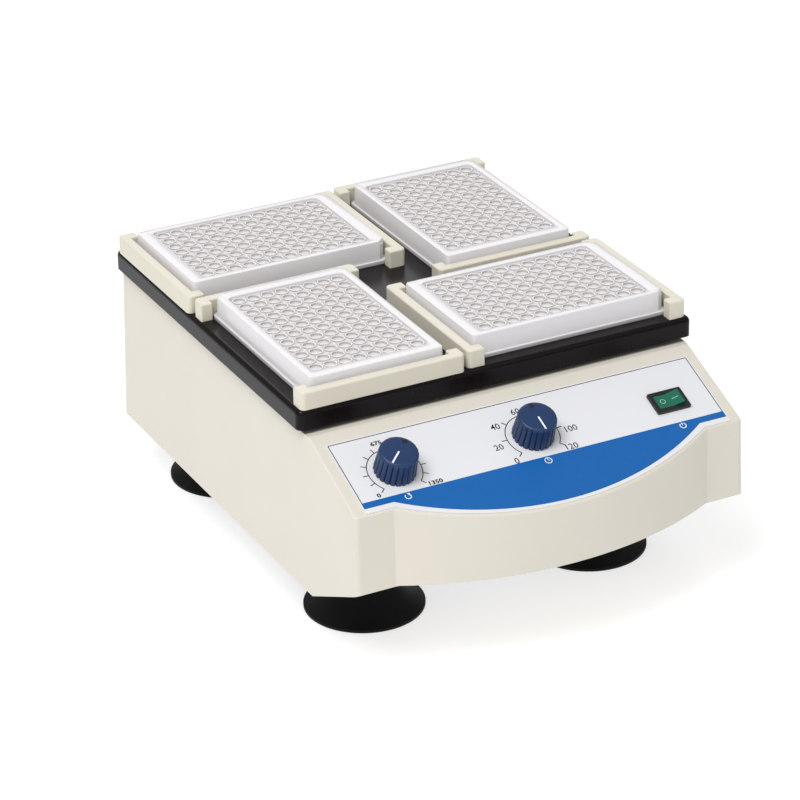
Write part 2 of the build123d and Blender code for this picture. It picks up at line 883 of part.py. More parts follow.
centres = plate_centres()
bracket_screw_places = [
    point for centre in centres.values() for point in bracket_screw_points(centre)
]
with BuildPart() as platform_tray:
    with BuildSketch(Plane.XY.offset(skirt_z)):
        with Locations((0, axis_y)):
            RectangleRounded(platform_size, platform_size, platform_corner)
    extrude(amount=platform_depth)
    fillet(platform_tray.faces().sort_by(Axis.Z)[-1].edges(), platform_edge)
    inside = platform_size - 2 * platform_sheet
    with BuildSketch(Plane.XY.offset(skirt_z)):
        with Locations((0, axis_y)):
            RectangleRounded(inside, inside, platform_corner - platform_sheet)
    extrude(amount=platform_depth - platform_edge, mode=Mode.SUBTRACT)
    inside = platform_size - 2 * platform_edge
    with BuildSketch(Plane.XY.offset(tray_under_z)):
        with Locations((0, axis_y)):
            RectangleRounded(inside, inside, tray_inner_corner)
    extrude(amount=-(platform_edge - platform_sheet), mode=Mode.SUBTRACT)
    with BuildSketch(Plane.XY.offset(tray_under_z)):
        with Locations(*bracket_screw_places):
            Circle(bracket_screw_radius + running_fit)
    extrude(amount=platform_sheet, mode=Mode.SUBTRACT)
save("platform_tray", platform_tray.part)

with BuildPart() as platform_hub:
    with BuildSketch(Plane.XY.offset(hub_z)):
        with Locations((0, pin_y)):
            Circle(hub_radius)
            Circle(hub_bearing_radius + seat_fit, mode=Mode.SUBTRACT)
    extrude(amount=tray_under_z - hub_z)
save("platform_hub", platform_hub.part)
hub_height = tray_under_z - hub_z
hub_bearing = ball_bearing(hub_z, crank_pin_radius, hub_bearing_radius, hub_height, pin_y)
save("hub_bearing", hub_bearing)

with BuildPart() as platform_bushes:
    with BuildSketch(Plane.XY.offset(bush_z)):
        with Locations(*bush_places):
            Circle(bush_radius)
            Circle(idler_pin_radius + running_fit, mode=Mode.SUBTRACT)
    extrude(amount=tray_under_z - bush_z)
save("platform_bushes", platform_bushes.part)


# Plate brackets, two to a plate, screwed on from under the tray
def plate_bracket():
    """C-shaped bracket for the end of a plate that lies along X, at its +X end."""
    outer_x = nest_length
    inner_x = outer_x - bracket_bar
    outer_y = nest_width
    inner_y = outer_y - bracket_lug
    tip_x = outer_x - bracket_reach
    with BuildPart() as bracket:
        with BuildSketch(Plane.XY.offset(tray_top_z)):
            with BuildLine():
                Polyline(
                    (outer_x, -outer_y),
                    (outer_x, outer_y),
                    (tip_x, outer_y),
                    (tip_x, inner_y),
                    (inner_x, inner_y),
                    (inner_x, -inner_y),
                    (tip_x, -inner_y),
                    (tip_x, -outer_y),
                    close=True,
                )
            make_face()
        extrude(amount=bracket_height)
        uprights = bracket.edges().filter_by(Axis.Z)
        fillet(uprights.filter_by(lambda e: e.center().X > outer_x - 0.01), bracket_corner)
        fillet(bracket.edges().filter_by(Axis.Z).group_by(Axis.X)[0], bracket_round)
        fillet(bracket.faces().sort_by(Axis.Z)[-1].edges(), bracket_round)
        with BuildSketch(Plane.XY.offset(tray_top_z)):
            with Locations((bracket_screw_x, 0)):
                with GridLocations(0, 2 * bracket_screw_y, 1, 2):
                    Circle(bracket_screw_radius + running_fit)
        extrude(amount=bracket_screw_length - platform_sheet + end_play, mode=Mode.SUBTRACT)
    return bracket.part


bracket_form = plate_bracket()
bracket_ends = {0: ("left", "right"), 90: ("front", "rear")}
for place, (x, y, turn) in centres.items():
    for end, spin in zip(bracket_ends[turn], (180, 0)):
        placed = bracket_form.moved(Location((x, y, 0), (0, 0, turn + spin)))
        save("bracket_" + place + "_" + end, placed)

with BuildPart() as bracket_screws:
    with BuildSketch(Plane.XY.offset(tray_under_z)):
        with Locations(*bracket_screw_places):
            Circle(bracket_screw_head_radius)
    extrude(amount=-screw_head_height)
    with BuildSketch(Plane.XY.offset(tray_under_z)):
        with Locations(*bracket_screw_places):
            Circle(bracket_screw_radius)
    extrude(amount=bracket_screw_length)
save("bracket_screws", bracket_screws.part)


# Microplates
def microplate():
    """A 96-well plate along X: flanged wall, sunk deck and open wells."""
    rim_z = tray_top_z + plate_height
    deck_top = rim_z - deck_drop
    flange = plate_flange_inset
    wall_length = plate_length - 2 * flange
    wall_width = plate_width - 2 * flange
    with BuildPart() as plate:
        with BuildSketch(Plane.XY.offset(tray_top_z)):
            RectangleRounded(plate_length, plate_width, plate_corner)
        extrude(amount=plate_flange_height)
        with BuildSketch(Plane.XY.offset(tray_top_z)):
            RectangleRounded(wall_length, wall_width, plate_corner - flange)
        extrude(amount=plate_height)
        with BuildSketch(Plane.XY.offset(tray_top_z)):
            RectangleRounded(
                wall_length - 2 * plate_wall,
                wall_width - 2 * plate_wall,
                plate_corner - flange - plate_wall,
            )
        extrude(amount=deck_top - plate_deck - tray_top_z, mode=Mode.SUBTRACT)
        field_length = plate_columns * well_pitch + 2 * well_margin
        field_width = plate_rows * well_pitch + 2 * well_margin
        with BuildSketch(Plane.XY.offset(deck_top)):
            RectangleRounded(field_length, field_width, well_radius)
        extrude(amount=deck_drop, mode=Mode.SUBTRACT)
        with BuildSketch(Plane.XY.offset(deck_top + well_lip - well_depth)):
            with GridLocations(well_pitch, well_pitch, plate_columns, plate_rows):
                Circle(well_radius + well_wall)
        extrude(amount=well_depth)
        with BuildSketch(Plane.XY.offset(deck_top + well_lip)):
            with GridLocations(well_pitch, well_pitch, plate_columns, plate_rows):
                Circle(well_radius)
        extrude(amount=-(well_depth - well_floor), mode=Mode.SUBTRACT)
    return plate.part


plate_form = microplate()
for place, (x, y, turn) in centres.items():
    save("microplate_" + place, plate_form.moved(Location((x, y, 0), (0, 0, turn))))

# Printed overlay on the panel
with BuildPart() as panel_label:
    with BuildSketch(panel):
        with BuildLine():
            Polyline(
                (-label_bow_half_width, -label_foot),
                (-label_half_width, -label_foot),
                (-label_half_width, -label_top),
                (label_half_width, -label_top),
                (label_half_width, -label_foot),
                (label_bow_half_width, -label_foot),
            )
            ThreePointArc(
                (label_bow_half_width, -label_foot),
                (0, -label_foot - label_bow),
                (-label_bow_half_width, -label_foot),
            )
        make_face()
        with Locations((speed_x, -knob_down), (timer_x, -knob_down)):
            Circle(panel_hole_radius, mode=Mode.SUBTRACT)
        with Locations((switch_x, -switch_down)):
            Rectangle(
                switch_length + 2 * switch_hole_gap,
                switch_width + 2 * switch_hole_gap,
                mode=Mode.SUBTRACT,
            )
    extrude(amount=label_thickness)
save("panel_label", panel_label.part)

# Controls behind and on the panel
shaft_tip = knob_lift + knob_bore_depth - end_play


def control_body(x, outline, depth):
    """A rotary control behind the panel: its case and its threaded bush."""
    with BuildPart() as body:
        with BuildSketch(on_panel(x, knob_down, -wall)):
            if outline == "round":
                Circle(pot_radius)
            else:
                RectangleRounded(timer_box, timer_box, corner_radius / 2)
        extrude(amount=-depth)
        with BuildSketch(on_panel(x, knob_down, -wall)):
            Circle(bush_outer_radius)
        extrude(amount=wall + bush_height)
        with BuildSketch(on_panel(x, knob_down, bush_height)):
            Circle(control_shaft_radius + running_fit)
        extrude(amount=-(bush_height + wall + depth / 2), mode=Mode.SUBTRACT)
    return body.part


save("speed_control", control_body(speed_x, "round", pot_depth))
save("timer_control", control_body(timer_x, "square", timer_depth))


def control_shaft(x, depth):
    """The shaft that turns in the bush and carries the knob."""
    with BuildPart() as shaft:
        with BuildSketch(on_panel(x, knob_down, shaft_tip)):
            Circle(control_shaft_radius)
        extrude(amount=-(shaft_tip + wall + depth / 2 - end_play))
    return shaft.part


save("speed_shaft", control_shaft(speed_x, pot_depth))
save("timer_shaft", control_shaft(timer_x, timer_depth))

with BuildPart() as control_nuts:
    for x in (speed_x, timer_x):
        with BuildSketch(on_panel(x, knob_down, label_thickness)):
            RegularPolygon(nut_radius, 6)
            Circle(bush_outer_radius + seat_fit, mode=Mode.SUBTRACT)
        extrude(amount=nut_height)
save("control_nuts", control_nuts.part)


def knob(x):
    """A fluted knob, slightly tapered, hollow under its skirt."""
    taper = degrees(atan2(knob_radius - knob_top_radius, knob_height))
    with BuildPart() as body:
        with BuildSketch(on_panel(x, knob_down, knob_lift)):
            Circle(knob_radius)
        extrude(amount=knob_height, taper=taper)
        rings = body.edges().filter_by(GeomType.CIRCLE)
        fillet(rings.sort_by(Axis(panel.origin, panel.z_dir))[-1], knob_edge)
        with BuildSketch(on_panel(x, knob_down, knob_lift)):
            with PolarLocations(knob_radius + flute_shift, knob_flutes):
                Circle(flute_radius)
        extrude(amount=knob_height - flute_stop, taper=-taper / 2, mode=Mode.SUBTRACT)
        with BuildSketch(on_panel(x, knob_down, knob_lift)):
            Circle(knob_recess_radius)
        extrude(amount=knob_recess_depth, mode=Mode.SUBTRACT)
        with BuildSketch(on_panel(x, knob_down, knob_lift)):
            Circle(control_shaft_radius + seat_fit)
        extrude(amount=knob_bore_depth, mode=Mode.SUBTRACT)
    return body.part


save("speed_knob", knob(speed_x))
save("timer_knob", knob(timer_x))

# Rocker switch
rocker_z = bezel_height - rocker_pivot_drop
with BuildPart() as switch_body:
    with BuildSketch(on_panel(switch_x, switch_down, label_thickness)):
        RectangleRounded(bezel_length, bezel_width, bezel_round)
    extrude(amount=bezel_height)
    with BuildSketch(on_panel(switch_x, switch_down, label_thickness)):
        Rectangle(switch_length, switch_width)
    extrude(amount=-switch_depth)
    with BuildSketch(on_panel(switch_x, switch_down, label_thickness + bezel_height)):
        Rectangle(rocker_well_length, rocker_well_width)
    extrude(amount=-rocker_well_depth, mode=Mode.SUBTRACT)
    rocker_axis_plane = Plane(
        origin=on_panel(switch_x, switch_down, rocker_z).origin,
        x_dir=panel.x_dir,
        z_dir=panel.y_dir,
    )
    with BuildSketch(rocker_axis_plane):
        Circle(rocker_pin_radius + running_fit)
    extrude(amount=switch_width / 2 - rocker_pin_wall, both=True, mode=Mode.SUBTRACT)
save("switch_body", switch_body.part)

with BuildPart() as power_rocker:
    half = rocker_length / 2
    reach = (half**2 + rocker_rise**2) ** 0.5
    with BuildSketch(rocker_axis_plane):
        with BuildLine():
            Polyline((-half, -rocker_rise), (0, -rocker_dip), (half, -rocker_rise))
            ThreePointArc((half, -rocker_rise), (reach, 0), (half, rocker_rise))
            Polyline(
                (half, rocker_rise),
                (half / 2, rocker_belly),
                (-half / 2, rocker_belly),
                (-half, rocker_rise),
            )
            ThreePointArc((-half, rocker_rise), (-reach, 0), (-half, -rocker_rise))
        make_face()
    extrude(amount=rocker_width / 2, both=True)
    with BuildSketch(rocker_axis_plane):
        Circle(rocker_pin_radius)
    extrude(amount=switch_width / 2 - rocker_pin_wall - rocker_pin_gap, both=True)
rocker_axis = Axis(rocker_axis_plane.origin, panel.y_dir)
save("power_rocker", power_rocker.part.rotate(rocker_axis, -rocker_tilt))

# Mains inlet
drawer_z = inlet_z - drawer_drop
inlet_face_y = inlet_seat_y + inlet_flange_thickness


def rear_plane(y):
    """A plane facing the rear, with its local X mirrored to the body's."""
    return Plane(origin=(inlet_x, y, inlet_z), x_dir=(-1, 0, 0), z_dir=(0, 1, 0))


with BuildPart() as inlet_body:
    with BuildSketch(rear_plane(inlet_seat_y)):
        RectangleRounded(inlet_flange_width, inlet_flange_height, inlet_corner)
    extrude(amount=inlet_flange_thickness)
    with BuildSketch(rear_plane(inlet_seat_y)):
        Rectangle(inlet_body_width, inlet_body_height)
    extrude(amount=-inlet_depth)
    with BuildSketch(rear_plane(inlet_face_y)) as socket_outline:
        with Locations((0, socket_rise)):
            Rectangle(socket_width, socket_height)
        chamfer(socket_outline.vertices().group_by(Axis.Z)[-1], socket_chamfer)
    extrude(amount=-socket_depth, mode=Mode.SUBTRACT)
    with BuildSketch(rear_plane(inlet_face_y)):
        with Locations((0, -drawer_drop)):
            Rectangle(drawer_width + 2 * drawer_gap, drawer_height + 2 * drawer_gap)
    extrude(amount=-(drawer_depth + drawer_gap), mode=Mode.SUBTRACT)
save("inlet_body", inlet_body.part)

with BuildPart() as inlet_pins:
    with BuildSketch(rear_plane(inlet_face_y - socket_depth)):
        with Locations((0, socket_rise + blade_rise)):
            with GridLocations(blade_spacing, 0, 2, 1):
                Rectangle(blade_width, blade_height)
        with Locations((0, socket_rise + earth_rise)):
            Rectangle(blade_width, blade_height)
    extrude(amount=pin_length)
save("inlet_pins", inlet_pins.part)

with BuildPart() as fuse_drawer:
    with BuildSketch(rear_plane(inlet_face_y)):
        with Locations((0, -drawer_drop)):
            Rectangle(drawer_width, drawer_height)
    extrude(amount=-drawer_depth)
    fuse_y = inlet_face_y - drawer_depth / 2
    with Locations((inlet_x, fuse_y, drawer_z + drawer_height / 4)):
        Box(fuse_length + 2 * fuse_bay_gap, fuse_bay, drawer_height / 2, mode=Mode.SUBTRACT)
save("fuse_drawer", fuse_drawer.part)

with BuildPart() as fuses:
    with BuildSketch(Plane.YZ.offset(inlet_x - fuse_length / 2)):
        with Locations((fuse_y, drawer_z + fuse_radius)):
            with GridLocations(fuse_pitch, 0, 2, 1):
                Circle(fuse_radius - fuse_fit)
    extrude(amount=fuse_length)
save("fuses", fuses.part)

# Electronics on the base plate
with BuildPart() as board_standoffs:
    with BuildSketch(Plane.XY.offset(base_top_z)):
        with Locations(*board_posts):
            Circle(standoff_radius)
    extrude(amount=standoff_height)
save("board_standoffs", board_standoffs.part)

board_z = base_top_z + standoff_height
with BuildPart() as control_board:
    with BuildSketch(Plane.XY.offset(board_z)):
        with Locations((board_x, board_y)):
            RectangleRounded(board_length, board_width, board_corner)
    extrude(amount=board_thickness)
save("control_board", control_board.part)

with BuildPart() as board_parts:
    top = board_z + board_thickness
    low = (Align.CENTER, Align.CENTER, Align.MIN)
    with Locations((board_x - board_length / 4, board_y, top)):
        Box(*heatsink_size, align=low)
    with Locations((board_x + board_length / 6, board_y + board_width / 4, top)):
        Cylinder(small_can_radius, small_can_height, align=low)
    with Locations((board_x + board_length / 6, board_y - board_width / 6, top)):
        Cylinder(large_can_radius, large_can_height, align=low)
    with Locations((board_x + board_length / 2 - connector_size[0], board_y, top)):
        Box(*connector_size, align=low)
save("board_parts", board_parts.part)

with BuildPart() as transformer:
    with BuildSketch(Plane.XY.offset(base_top_z)):
        with Locations((transformer_x, transformer_y)):
            Rectangle(transformer_foot_length, transformer_foot_width)
        with Locations(*transformer_screws):
            Circle(screw_radius + running_fit, mode=Mode.SUBTRACT)
    extrude(amount=transformer_foot_height)
    with BuildSketch(Plane.XY.offset(base_top_z)):
        with Locations((transformer_x, transformer_y)):
            Rectangle(transformer_length, transformer_width)
    extrude(amount=transformer_height)
save("transformer", transformer.part)

with BuildPart() as transformer_bolts:
    with BuildSketch(Plane.XY.offset(base_top_z + transformer_foot_height)):
        with Locations(*transformer_screws):
            Circle(screw_head_radius)
    extrude(amount=screw_head_height)
    with BuildSketch(Plane.XY.offset(base_top_z + transformer_foot_height)):
        with Locations(*transformer_screws):
            Circle(screw_radius)
    extrude(amount=-(transformer_foot_height + base_thickness))
save("transformer_bolts", transformer_bolts.part)
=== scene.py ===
import json
from math import cos, pi, radians, sin

import bmesh
import bpy
from mathutils import Matrix, Vector


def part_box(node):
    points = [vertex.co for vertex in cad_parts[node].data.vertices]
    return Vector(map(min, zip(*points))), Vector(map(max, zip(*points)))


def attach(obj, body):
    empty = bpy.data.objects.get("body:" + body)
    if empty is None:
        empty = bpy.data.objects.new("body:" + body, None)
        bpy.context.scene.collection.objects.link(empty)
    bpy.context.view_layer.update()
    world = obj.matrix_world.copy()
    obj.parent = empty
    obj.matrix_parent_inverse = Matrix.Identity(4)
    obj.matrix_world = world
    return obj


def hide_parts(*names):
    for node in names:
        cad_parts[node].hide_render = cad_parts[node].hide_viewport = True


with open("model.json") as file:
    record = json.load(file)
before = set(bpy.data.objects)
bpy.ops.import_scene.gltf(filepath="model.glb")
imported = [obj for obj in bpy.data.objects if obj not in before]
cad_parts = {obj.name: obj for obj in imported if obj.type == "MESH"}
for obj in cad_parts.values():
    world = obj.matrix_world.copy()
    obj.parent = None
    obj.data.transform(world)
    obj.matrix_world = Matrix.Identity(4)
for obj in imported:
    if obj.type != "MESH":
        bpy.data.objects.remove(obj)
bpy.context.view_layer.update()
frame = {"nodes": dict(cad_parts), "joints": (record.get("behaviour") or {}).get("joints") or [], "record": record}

bl_info = {
    "name": "Microplate Shaker Dressing",
    "version": (1, 0, 0),
    "blender": (4, 5, 0),
    "location": "3D View > Sidebar > Shaker",
    "description": "Finishes, plates, dials and panel print for a four-plate orbital shaker",
    "category": "Object",
}

MM = 0.001
JOINTS = {joint["name"]: joint for joint in frame["joints"]}

# The panel's own directions come from the axis that the dials turn on.
OUT = -Vector(JOINTS["speed_dial_turn"]["axis"]).normalized()
UP_SLOPE = Vector((0, OUT.z, -OUT.y))
SPEED_HUB = Vector(JOINTS["speed_dial_turn"]["pos_m"])
TIMER_HUB = Vector(JOINTS["timer_dial_turn"]["pos_m"])
LABEL_TOP = 0.4 * MM  # the overlay's thickness

# The standard plate, in mm: its footprint, its grid of wells and the deck that joins them.
PLATE_LENGTH = 127.76
PLATE_WIDTH = 85.48
PLATE_HEIGHT = 14.35
WELL_PITCH = 9.0
COLUMNS = 12
ROWS = 8
FIELD_X = COLUMNS * WELL_PITCH / 2
FIELD_Y = ROWS * WELL_PITCH / 2
DECK_TOP = PLATE_HEIGHT - 1.3
DECK_THICK = 1.2
FLANGE_TOP = 2.4
WALL_CLIP = 4.6  # how far the wall's two clipped corners are cut back

# Outside of a plate from the foot up: inset from the footprint, corner radius, height.
PLATE_OUTSIDE = (
    (0.9, 2.6, 0.0),
    (0.1, 3.5, 0.0),
    (0.0, 3.6, 0.3),
    (0.0, 3.6, 2.1),
    (0.25, 3.4, FLANGE_TOP),
    (1.0, 2.7, FLANGE_TOP),
    (1.05, 2.6, 2.8),
    (1.35, 2.5, PLATE_HEIGHT - 0.5),
    (1.55, 2.4, PLATE_HEIGHT - 0.12),
    (1.9, 2.2, PLATE_HEIGHT),
)
# Inner side of its rim down to the deck: distance from the field of wells, corner radius, height.
RIM_INSIDE = (
    (0.9, 3.4, PLATE_HEIGHT),
    (0.6, 3.2, PLATE_HEIGHT - 0.15),
    (0.5, 3.1, PLATE_HEIGHT - 0.4),
    (0.4, 3.0, DECK_TOP),
)
# Inside of its skirt up to the deck's underside: inset from the footprint, corner radius, height.
SKIRT_INSIDE = (
    (2.4, 1.4, 0.0),
    (2.5, 1.4, DECK_TOP - DECK_THICK),
)

# A well in mm from the deck's top: radius, height and painted light of each ring, from 0 (dark) to 1 (light). The
# dark lip foot and inner edge are painted shade, the pale lip top a painted highlight, and the light bore gets a
# painted glow.
WELL_BORE = (
    (4.2, 0.0, 0.0),
    (3.95, 0.45, 0.75),
    (3.55, 0.45, 0.75),
    (3.4, -0.4, 0.25),
    (3.35, -1.6, 1.0),
    (3.2, -9.3, 1.0),
)
WELL_TUBE = (
    (3.95, -DECK_THICK, 0.5),
    (3.7, -10.4, 0.5),
)
# Painted-light values for the deck's corners and for the plate's frame. The deck darkens towards each well as
# painted shade, and points at the frame's value get a faint painted glow.
DECK_PAINTED_LIGHT = 0.5
WALL_PAINTED_LIGHT = 0.8
PLATE_SHARP = radians(38)  # edges of a plate that turn by more than this stay sharp

# A knob in mm: radius, height above the panel and share of the flutes' depth at each ring, down
# the bore for its shaft and the hollow over the nut, then up the outside.
KNOB_TOP = 16.0
KNOB_BORE = (
    (3.02, 12.3, 0.0),
    (3.02, 5.8, 0.0),
    (8.4, 5.8, 0.0),
    (8.4, 0.8, 0.0),
)
KNOB_OUTSIDE = (
    (12.1, 0.8, 0.9),
    (12.1, 1.1, 1.0),
    (11.95, 3.0, 1.0),
    (11.5, 9.5, 1.0),
    (11.3, 13.0, 0.9),
    (11.2, 14.2, 0.55),
    (11.05, 15.0, 0.25),
    (10.75, 15.55, 0.08),
    (10.2, 15.88, 0.0),
    (9.3, KNOB_TOP, 0.0),
    (5.0, KNOB_TOP, 0.0),
)
POINTS_PER_FLUTE = 10
KNOB_SHARP = radians(50)
# The pointer's line starts and ends this far from a knob's middle; opposite lies a flat dark disk, painted shade
# where the knob's cap has a hole.
POINTER_START = 0.4 * MM
POINTER_END = 9.9 * MM
POINTER_WIDTH = 0.95 * MM
POINTER_THICK = 0.05 * MM
HOLE_SHADE_REACH = 8.0 * MM
HOLE_SHADE_RADIUS = 1.6 * MM
HOLE_SHADE_THICK = 0.04 * MM

# Where each pointer rests, in degrees clockwise from straight up the slope.
KNOBS = (
    ("speed_knob", SPEED_HUB, "speed_dial", 227.6),
    ("timer_knob", TIMER_HUB, "timer_dial", 180.0),
)

# Both printed dials: first and last tick in degrees clockwise from straight up the slope, and
# in mm the figures' size, boldness and middles, measured from the hub.
DIALS = (
    {
        "name": "speed",
        "hub": SPEED_HUB,
        "first": -132.5,
        "last": 137.0,
        "ticks": 13,
        "size": 3.8,
        "stretch": 1.2,
        "bold": 0.14,
        "figures": (("0", -16.4, -14.2), ("675", -1.4, 21.0), ("1350", 17.8, -14.7)),
    },
    {
        "name": "timer",
        "hub": TIMER_HUB,
        "first": -130.0,
        "last": 130.0,
        "ticks": 7,
        "size": 5.8,
        "stretch": 1.0,
        "bold": 0.05,
        "figures": (
            ("0", -17.4, -14.7),
            ("20", -22.6, -2.7),
            ("40", -17.6, 11.8),
            ("60", -1.4, 18.8),
            ("80", 13.6, 12.0),
            ("100", 23.0, -2.0),
            ("120", 17.2, -14.2),
        ),
    },
)
DIAL_LINE = 0.55 * MM
TICK_LENGTH = 3.3 * MM
TICK_WIDTH = 0.6 * MM
FIGURE_LIFT = 0.012 * MM  # keeps the figures' underside off the overlay

# The panel in mm from the timer's hub: right, and up the slope.
BAND_TOP = -16.5
BAND_FOOT = -20.8
BAND_HALF = 114.3
BOW_HALF = 96.6
BOW_DEPTH = 27.7
BOW_STEPS = 64
BORDER_HALF = 113.9
BORDER_TOP = 27.0
BORDER_WIDTH = 0.5
ARROW_PLACE = (-87.2 * MM, -19.6 * MM)
CLOCK_PLACE = (-0.2 * MM, -19.6 * MM)
POWER_PLACE = (86.5 * MM, -19.4 * MM)

# The rocker's top, which stands higher at both ends than over its pivot, and its tilt at rest.
ROCKER_END = 2.6 * MM
ROCKER_MIDDLE = 1.4 * MM
ROCKER_HALF = 7.7 * MM
ROCKER_TILT = radians(-8.0)

# The viewpoint, worked out from the plates in the photograph.
CAMERA_TURN = radians(-26.971)
CAMERA_LIFT = radians(26.447)
CAMERA_ROLL = radians(-0.977)
CAMERA_AIM = Vector((-0.08292, -0.12276, 0.1615))
CAMERA_DISTANCE = 1.91897
FOCAL_PIXELS = 3564.06
PICTURE_PIXELS = 800
SENSOR = 36.0

# Lamps: place, width of the square, watts and the point that each faces.
LAMPS = (
    ("key", (-1.2, -0.8, 2.3), 1.3, 53.0, (0, 0, 0.08)),
    ("fill", (0.5, -1.3, 2.5), 1.6, 7.0, (0, 0, 0.08)),
    ("back", (0.9, 2.2, 1.8), 1.6, 12.0, (0, 0, 0.10)),
)
SKY_STRENGTH = 0.42
FLOOR_GLOW = 0.62
FLOOR_DROP = 0.2 * MM  # keeps the floor clear of the feet's own faces


# Shader maths


class Field:
    """A socket that numbers and other sockets can be added to, taken from and multiplied by."""

    def __init__(self, finish, socket):
        self.finish = finish
        self.socket = socket

    def math(self, operation, *others):
        """A Math node on this value and others."""
        return self.finish.node("Math", {"operation": operation}, [self, *others])

    def __add__(self, other):
        return self.math("ADD", other)

    def __sub__(self, other):
        return self.math("SUBTRACT", other)

    def __rsub__(self, other):
        return self.finish.node("Math", {"operation": "SUBTRACT"}, [other, self])

    def __mul__(self, other):
        return self.math("MULTIPLY", other)

    __radd__ = __add__
    __rmul__ = __mul__


class Finish:
    """One material: its nodes, each made by the same call, and its Principled shader."""

    def __init__(self, name, **fixed):
        self.material = bpy.data.materials.new(name)
        self.material.use_nodes = True
        self.tree = self.material.node_tree
        self.shader = self.tree.nodes["Principled BSDF"]
        for socket, value in fixed.items():
            self.shader.inputs[socket.replace("_", " ")].default_value = value

    def node(self, kind, settings=None, inputs=(), output=0):
        """Any shader node, with its settings first and then its sockets' values or links."""
        made = self.tree.nodes.new("ShaderNode" + kind)
        for key, value in (settings or {}).items():
            if key == "stops":
                ramp = made.color_ramp.elements
                while len(ramp) < len(value):
                    ramp.new(0.5)
                for stop, (place, colour) in zip(ramp, value):
                    stop.position = place
                    stop.color = colour
            else:
                setattr(made, key, value)
        pairs = inputs.items() if isinstance(inputs, dict) else enumerate(inputs)
        for key, value in pairs:
            self.feed(made.inputs[key], value)
        return Field(self, made.outputs[output])

    def feed(self, socket, value):
        """Links a field to a socket, or gives it a plain value."""
        if isinstance(value, Field):
            self.tree.links.new(value.socket, socket)
        else:
            socket.default_value = value

    def place(self, scale=(1, 1, 1)):
        """Object coordinates, stretched where a grain runs one way."""
        raw = self.node("TexCoord", output="Object")
        return self.node("Mapping", {}, {"Vector": raw, "Scale": scale})

    def noise(self, size, detail=2.0, scale=(1, 1, 1)):
        """Noise whose lumps are about size metres across."""
        inputs = {"Vector": self.place(scale), "Scale": 1 / size, "Detail": detail}
        return self.node("TexNoise", {}, inputs)

    def tint(self, amount, dark, light):
        """A colour between two, by an amount from 0 to 1."""
        stops = [(0.0, (*dark, 1)), (1.0, (*light, 1))]
        return self.node("ValToRGB", {"stops": stops}, [amount])

    def bump(self, height, depth):
        self.set("Normal", self.node("Bump", {}, {"Height": height, "Distance": depth, "Strength": 1.0}))

    def set(self, socket, value):
        self.feed(self.shader.inputs[socket], value)


def shade(colour, factor):
    """A colour made lighter or darker, never brighter than white."""
    return tuple(min(1.0, channel * factor) for channel in colour)


def moulded(name, colour, roughness, grain=0.5 * MM, depth=0.012 * MM, coat=0.0, spread=0.03):
    """Moulded plastic: fine spark-eroded grain, with slight drift in colour and gloss."""
    finish = Finish(name, Coat_Weight=coat, Coat_Roughness=0.12, IOR=1.49)
    drift = finish.noise(60 * MM, 3.0)
    finish.set("Base Color", finish.tint(drift, shade(colour, 1 - spread), shade(colour, 1 + spread)))
    finish.set("Roughness", finish.noise(9 * MM) * 0.08 + (roughness - 0.04))
    finish.bump(finish.noise(grain, 3.0), depth)
    return finish


def metal(name, colour, roughness, grain=(1, 1, 1)):
    """Turned, plated or machined metal; grain squeezes its marks along each axis."""
    finish = Finish(name, Metallic=1.0)
    marks = finish.noise(0.4 * MM, 4.0, grain)
    finish.set("Base Color", finish.tint(marks, shade(colour, 0.86), shade(colour, 1.08)))
    finish.set("Roughness", marks * 0.16 + (roughness - 0.08))
    finish.bump(marks, 0.004 * MM)
    return finish


def coated(name, colour, roughness):
    """Powder coat: orange peel over a dense colour."""
    finish = Finish(name, Specular_IOR_Level=0.14)
    peel = finish.noise(0.9 * MM, 2.0)
    drift = finish.noise(25 * MM, 4.0)
    finish.set("Base Color", finish.tint(drift, shade(colour, 0.8), shade(colour, 1.25)))
    finish.set("Roughness", peel * 0.1 + (roughness - 0.05))
    finish.bump(peel, 0.02 * MM)
    return finish


def rubber(name, colour):
    """Moulded rubber with a faint bloom and a soft skin."""
    finish = Finish(name, Specular_IOR_Level=0.15)
    bloom = finish.noise(7 * MM, 5.0)
    finish.set("Base Color", finish.tint(bloom, shade(colour, 0.7), shade(colour, 1.5)))
    finish.set("Roughness", bloom * 0.2 + 0.42)
    finish.bump(finish.noise(0.35 * MM, 3.0), 0.02 * MM)
    return finish


def polystyrene(name, wall, depth):
    """Clear and white polystyrene of a plate; each point's painted-light value on the mesh, which says how deep it
    looks, picks its colour: painted shade round the wells, pale lip tops as painted highlights and a painted glow
    inside them.
    """
    finish = Finish(name, Coat_Weight=0.5, Coat_Roughness=0.08, Emission_Strength=1.0)
    painted_light = finish.node("Attribute", {"attribute_name": "well_tone"}, output="Fac")
    # Base colour by painted light: 0 and 0.25 are painted shade, 0.5 is the clear plastic's own colour, and 0.75
    # to 1 paint the lip tops and bores as light as the white wall, painted light through clear plastic.
    stops = [
        (0.0, (*shade(depth, 0.52), 1)),
        (0.25, (*shade(depth, 0.58), 1)),
        (0.5, (*depth, 1)),
        (0.75, (*shade(wall, 0.95), 1)),
        (1.0, (*wall, 1)),
    ]
    # Painted glow: the bores and lip tops glow though no lamp is in them, standing in for light through the clear
    # plastic.
    glow = [(0.6, (0, 0, 0, 1)), (1.0, (*shade(depth, 0.28), 1))]
    finish.set("Emission Color", finish.node("ValToRGB", {"stops": glow}, [painted_light]))
    finish.set("Base Color", finish.node("ValToRGB", {"stops": stops}, [painted_light]))
    finish.set("Roughness", finish.noise(4 * MM) * 0.08 + 0.16)
    finish.bump(finish.noise(2.5 * MM), 0.01 * MM)
    return finish


